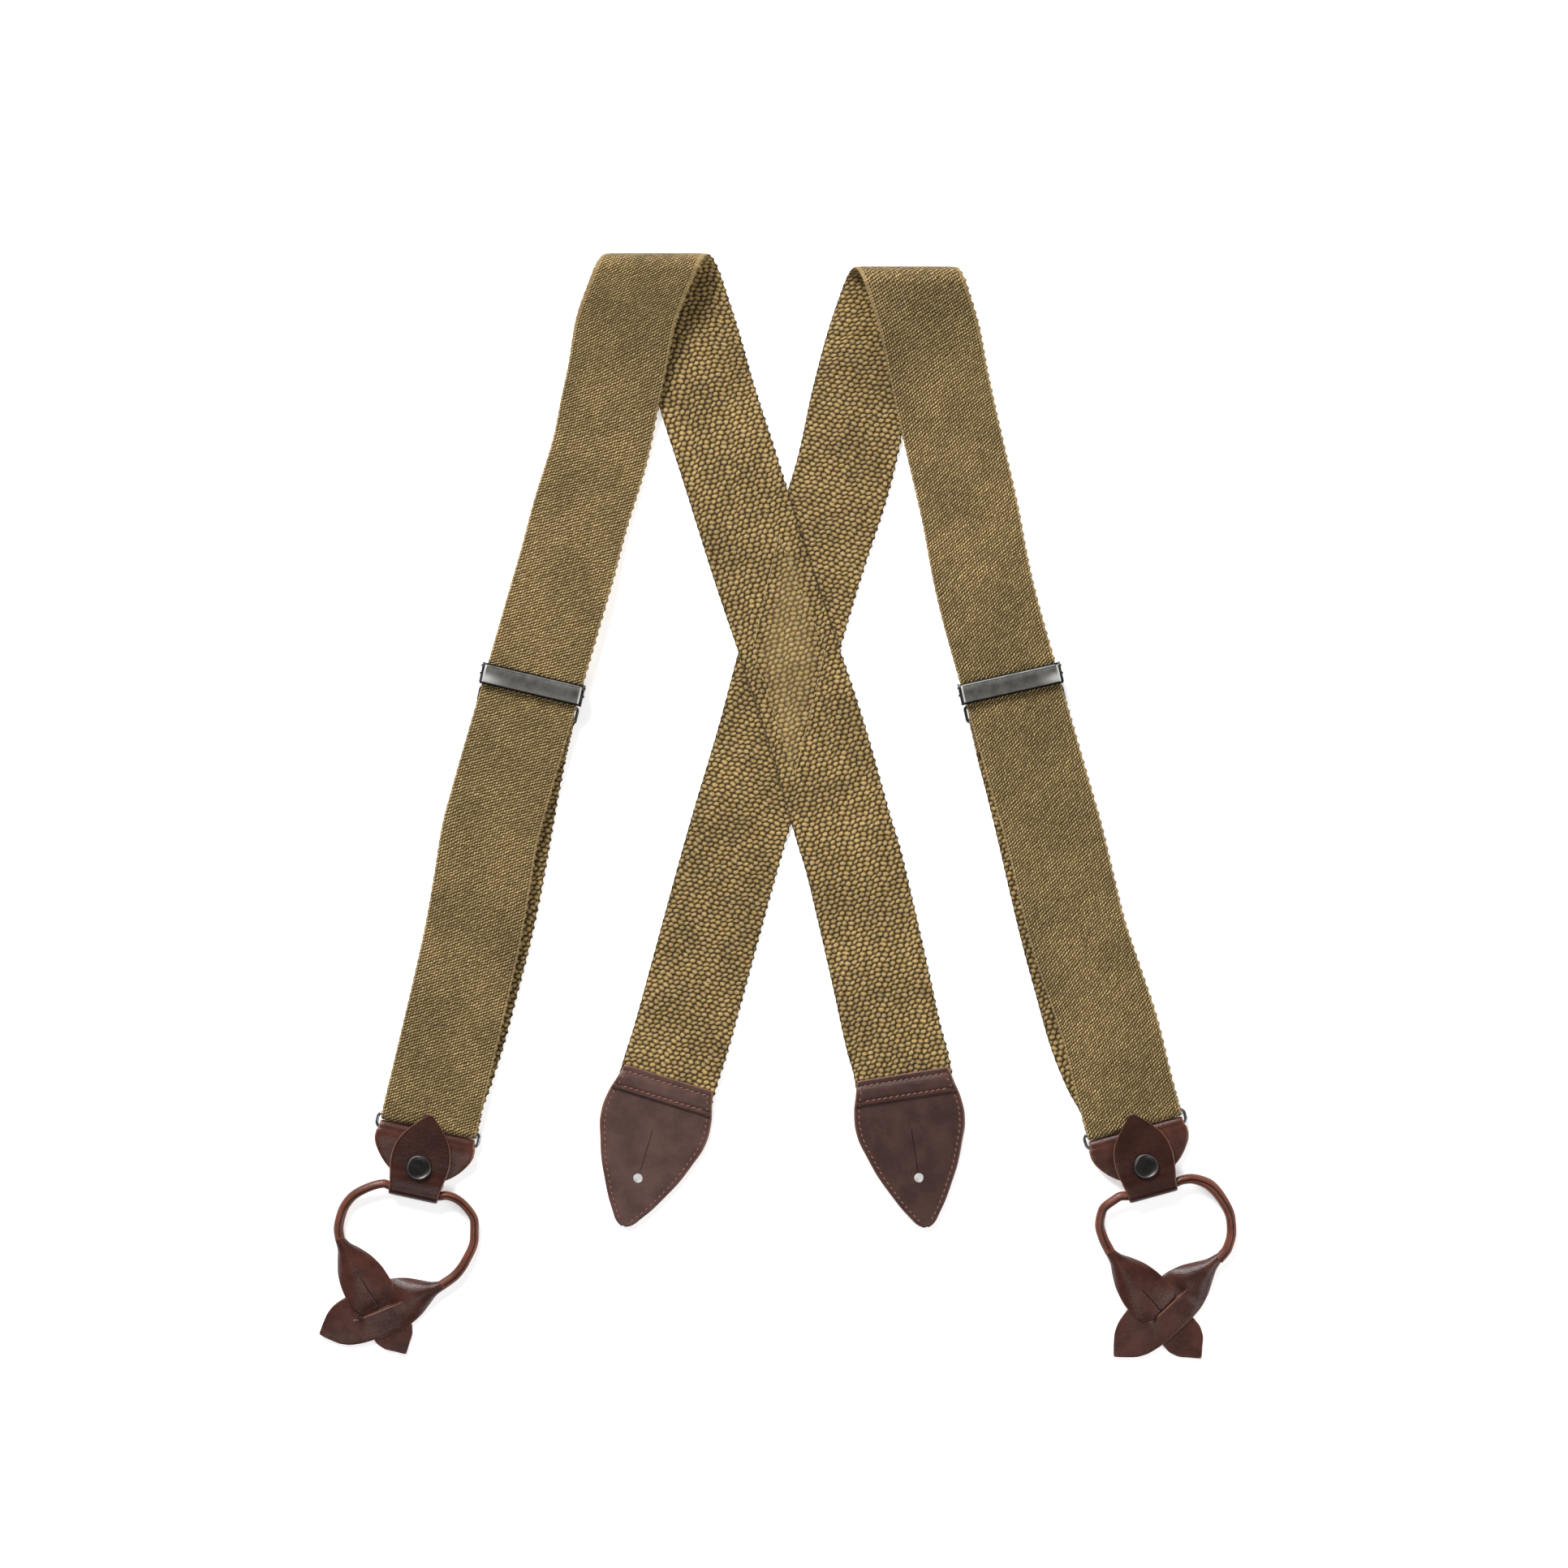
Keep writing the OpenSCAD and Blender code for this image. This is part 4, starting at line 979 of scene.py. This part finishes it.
def tab_heights(down, edge):
    """Height of the middle of the face: high over the strap, low below it, pressed in along the two cross
    rows and the edge row of stitches and raised between the cross rows."""
    over = 0.5 + 0.5 * np.tanh((TAB_STEP - down) / 0.6)
    height = 1.62 + 1.62 * over
    for row, depth in zip(TAB_ROWS, (0.45, 0.5)):
        height = height - depth * np.exp(-((down + row) / 0.75) ** 2)
    height = height + 0.42 * np.exp(-((down - 5.4) / 1.5) ** 2)
    height = height - 0.2 * np.exp(-((edge - EDGE_MARGIN) / 0.6) ** 2) * (down > 9)
    return height - 0.25 * np.exp(-edge / 0.8)


def tab_surface(place, height_of, columns=81):
    """Middle surface of a tab: rows down its length, columns across its half width at each row."""
    shape = np.array(TAB_SHAPE, float)
    outline = smooth_path(np.column_stack([shape, 0 * shape[:, 0]]), 0.4)
    share = np.sin(np.linspace(-math.pi / 2, math.pi / 2, columns))
    share = np.sign(share) * np.abs(share) ** 1.2
    down, half = outline[:, :1], outline[:, 1:2]
    edge = np.minimum(half * (1 - np.abs(share)), TAB_LENGTH - down)
    local = np.stack([half * share, -down + 0 * share, height_of(down, edge)], -1)
    return set_in(place, local), share, outline


def needle_hole_shade(rows, radius):
    """Short drums at both ends of every stitch, where the thread goes down, just proud of the hide:
    black painted shade standing for the needle holes.
    """
    ends = np.concatenate([tubes[:, [0, -1]].mean(2).reshape(-1, 3) for tubes in rows])
    turn = np.arange(8) * 2 * math.pi / 8
    ring = radius * np.column_stack([np.cos(turn), np.sin(turn), 0 * turn])
    drop = np.array([[0, 0, -0.5], [0, 0, 0.0]])
    return ends[:, None, None] + drop[:, None] + ring


def leather_thread():
    """Reddish brown waxed thread, painted black as shade where each stitch goes down its needle hole."""
    made, tree, surface = new_material("leather_thread", Roughness=0.55, Specular_IOR_Level=0.3)
    dip = node(tree, "Attribute", out=2, attribute_name="dip")
    twist = node(tree, "TexWave", {"Vector": millimetres(tree), "Scale": 1.3, "Distortion": 1.0}, out=1,
                 bands_direction="DIAGONAL")
    lit = mixed(tree, twist, (0.13, 0.050, 0.036, 1), (0.32, 0.132, 0.092, 1))
    # painted shade: black toward each stitch's ends, where it goes down
    hole_shaded = mixed(tree, ranged(tree, dip, 0.25, 0.8), lit, (0.006, 0.003, 0.0025, 1))
    join(tree, hole_shaded, surface["Base Color"])
    join(tree, node(tree, "Bump", {"Strength": 0.5, "Distance": 0.0001, "Height": twist}), surface["Normal"])
    return made


TAB_LEATHER = {
    "left": leather("left_tab_leather", (0.034, 0.0145, 0.0115, 1), (0.060, 0.0270, 0.0220, 1), 0.42),
    "right": leather("right_tab_leather", (0.058, 0.0290, 0.0240, 1), (0.090, 0.0460, 0.0380, 1), 0.42),
}
LINING_LEATHER = leather("lining_leather", (0.070, 0.033, 0.025, 1), (0.12, 0.058, 0.042, 1), 0.7)
LEATHER_THREAD = leather_thread()

for side in SIDES:
    place = tab_frame(*TAB_PLACE[side])
    turn = np.arange(40) * 2 * math.pi / 40
    hole = [(TAB_HOLE_RADIUS * math.cos(t), TAB_HOLE_Y + TAB_HOLE_RADIUS * math.sin(t)) for t in turn]
    slit = [(-0.1, TAB_HOLE_Y), (0.1, TAB_HOLE_Y), (0.1, TAB_SLIT_TOP), (-0.1, TAB_SLIT_TOP)]
    cutters = [np.stack([set_in(place, [(*p, z) for p in outline]) for z in (-1.0, 6.0)])
               for outline in (hole, slit)]
    for name, thickness, height_of, material, stands_for in (
            ("tab_face_leather", 1.1, tab_heights, TAB_LEATHER[side], "tab_face"),
            ("tab_lining_leather", 0.9, lambda down, edge: 0.5 + 0 * edge, LINING_LEATHER, "tab_lining")):
        middle, share, outline = tab_surface(place, height_of)
        rings, raw = hide_shell(middle, share, thickness, 90.0)
        piece = new_object(f"{side}_{name}", [rings], material, raw=[raw])
        cut(piece, cutters if name == "tab_face_leather" else cutters[:1])
        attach(piece, "webbing_set")
        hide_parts(f"{side}_{stands_for}")

    margin = outline[(outline[:, 0] > 1.5) & (outline[:, 0] < 60.2)][::6]
    half = np.maximum(margin[:, 1] - EDGE_MARGIN, 0)
    down = np.minimum(margin[:, 0], TAB_LENGTH - EDGE_MARGIN)
    top = tab_heights(down, np.full(len(down), EDGE_MARGIN)) + 0.62
    starts, ends = [], []
    for hand in (-1, 1):
        line = set_in(place, np.column_stack([hand * half, -down, top]))
        starts.append(line[:-1])
        ends.append(line[1:])
    tubes, dip = stitches(np.vstack(starts), np.vstack(ends), 2.4, 1.75, 0.3, 0.22)
    rows = [set_in(place, [(s * 16.4, y, tab_heights(-y, 9.0) + 0.68) for y in TAB_ROWS]) for s in (-1, 1)]
    row_tubes, row_dip = stitches(*rows, 2.3, 2.1, 0.34, 0.3)
    # black drums of painted shade for the needle holes
    hole_shade_drums = needle_hole_shade([tubes, row_tubes], 0.36)
    thread = new_object(f"{side}_tab_thread", [tubes, row_tubes, hole_shade_drums], LEATHER_THREAD,
                        dip=[dip, row_dip, np.ones(hole_shade_drums.shape[:3])])
    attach(thread, "webbing_set")
    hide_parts(f"{side}_tab_stitching")

# ---------------------------------------------------------------------------------------------------------
# The stitching that joins the two straps where they cross: a long diamond of olive thread sewn through
# both, sunk a little between the beads.

CROSSING = [(-9.5, 61.5), (0.5, 106), (19, 61.5), (7, 12)]
CROSSING_TOP = HIGH + 0.95
corners = np.array([(x, y, CROSSING_TOP) for x, y in CROSSING])
tubes, dip = stitches(corners, np.roll(corners, -1, 0), 2.8, 2.2, 0.3)
thread = new_object("crossing_thread", [tubes], OLIVE_THREAD, dip=[dip])
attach(thread, "webbing_set")
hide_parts("crossing_stitching")


# ---------------------------------------------------------------------------------------------------------
# The table's finish: a matt white sheet that gives a little light of its own, so its shadows stay faint. It
# comes last because it uses the same material helpers as the pieces.

def table_white():
    """Matt white sheet with the faintest unevenness."""
    made, tree, surface = new_material("table_white", Roughness=1.0, Specular_IOR_Level=0.0)
    tone = mixed(tree, noise(tree, millimetres(tree), 0.004, 2), (0.93, 0.93, 0.93, 1), (0.95, 0.95, 0.95, 1))
    join(tree, tone, surface["Base Color"])
    join(tree, tone, surface["Emission Color"])
    surface["Emission Strength"].default_value = 0.46
    return made


floor.data.materials.append(table_white())
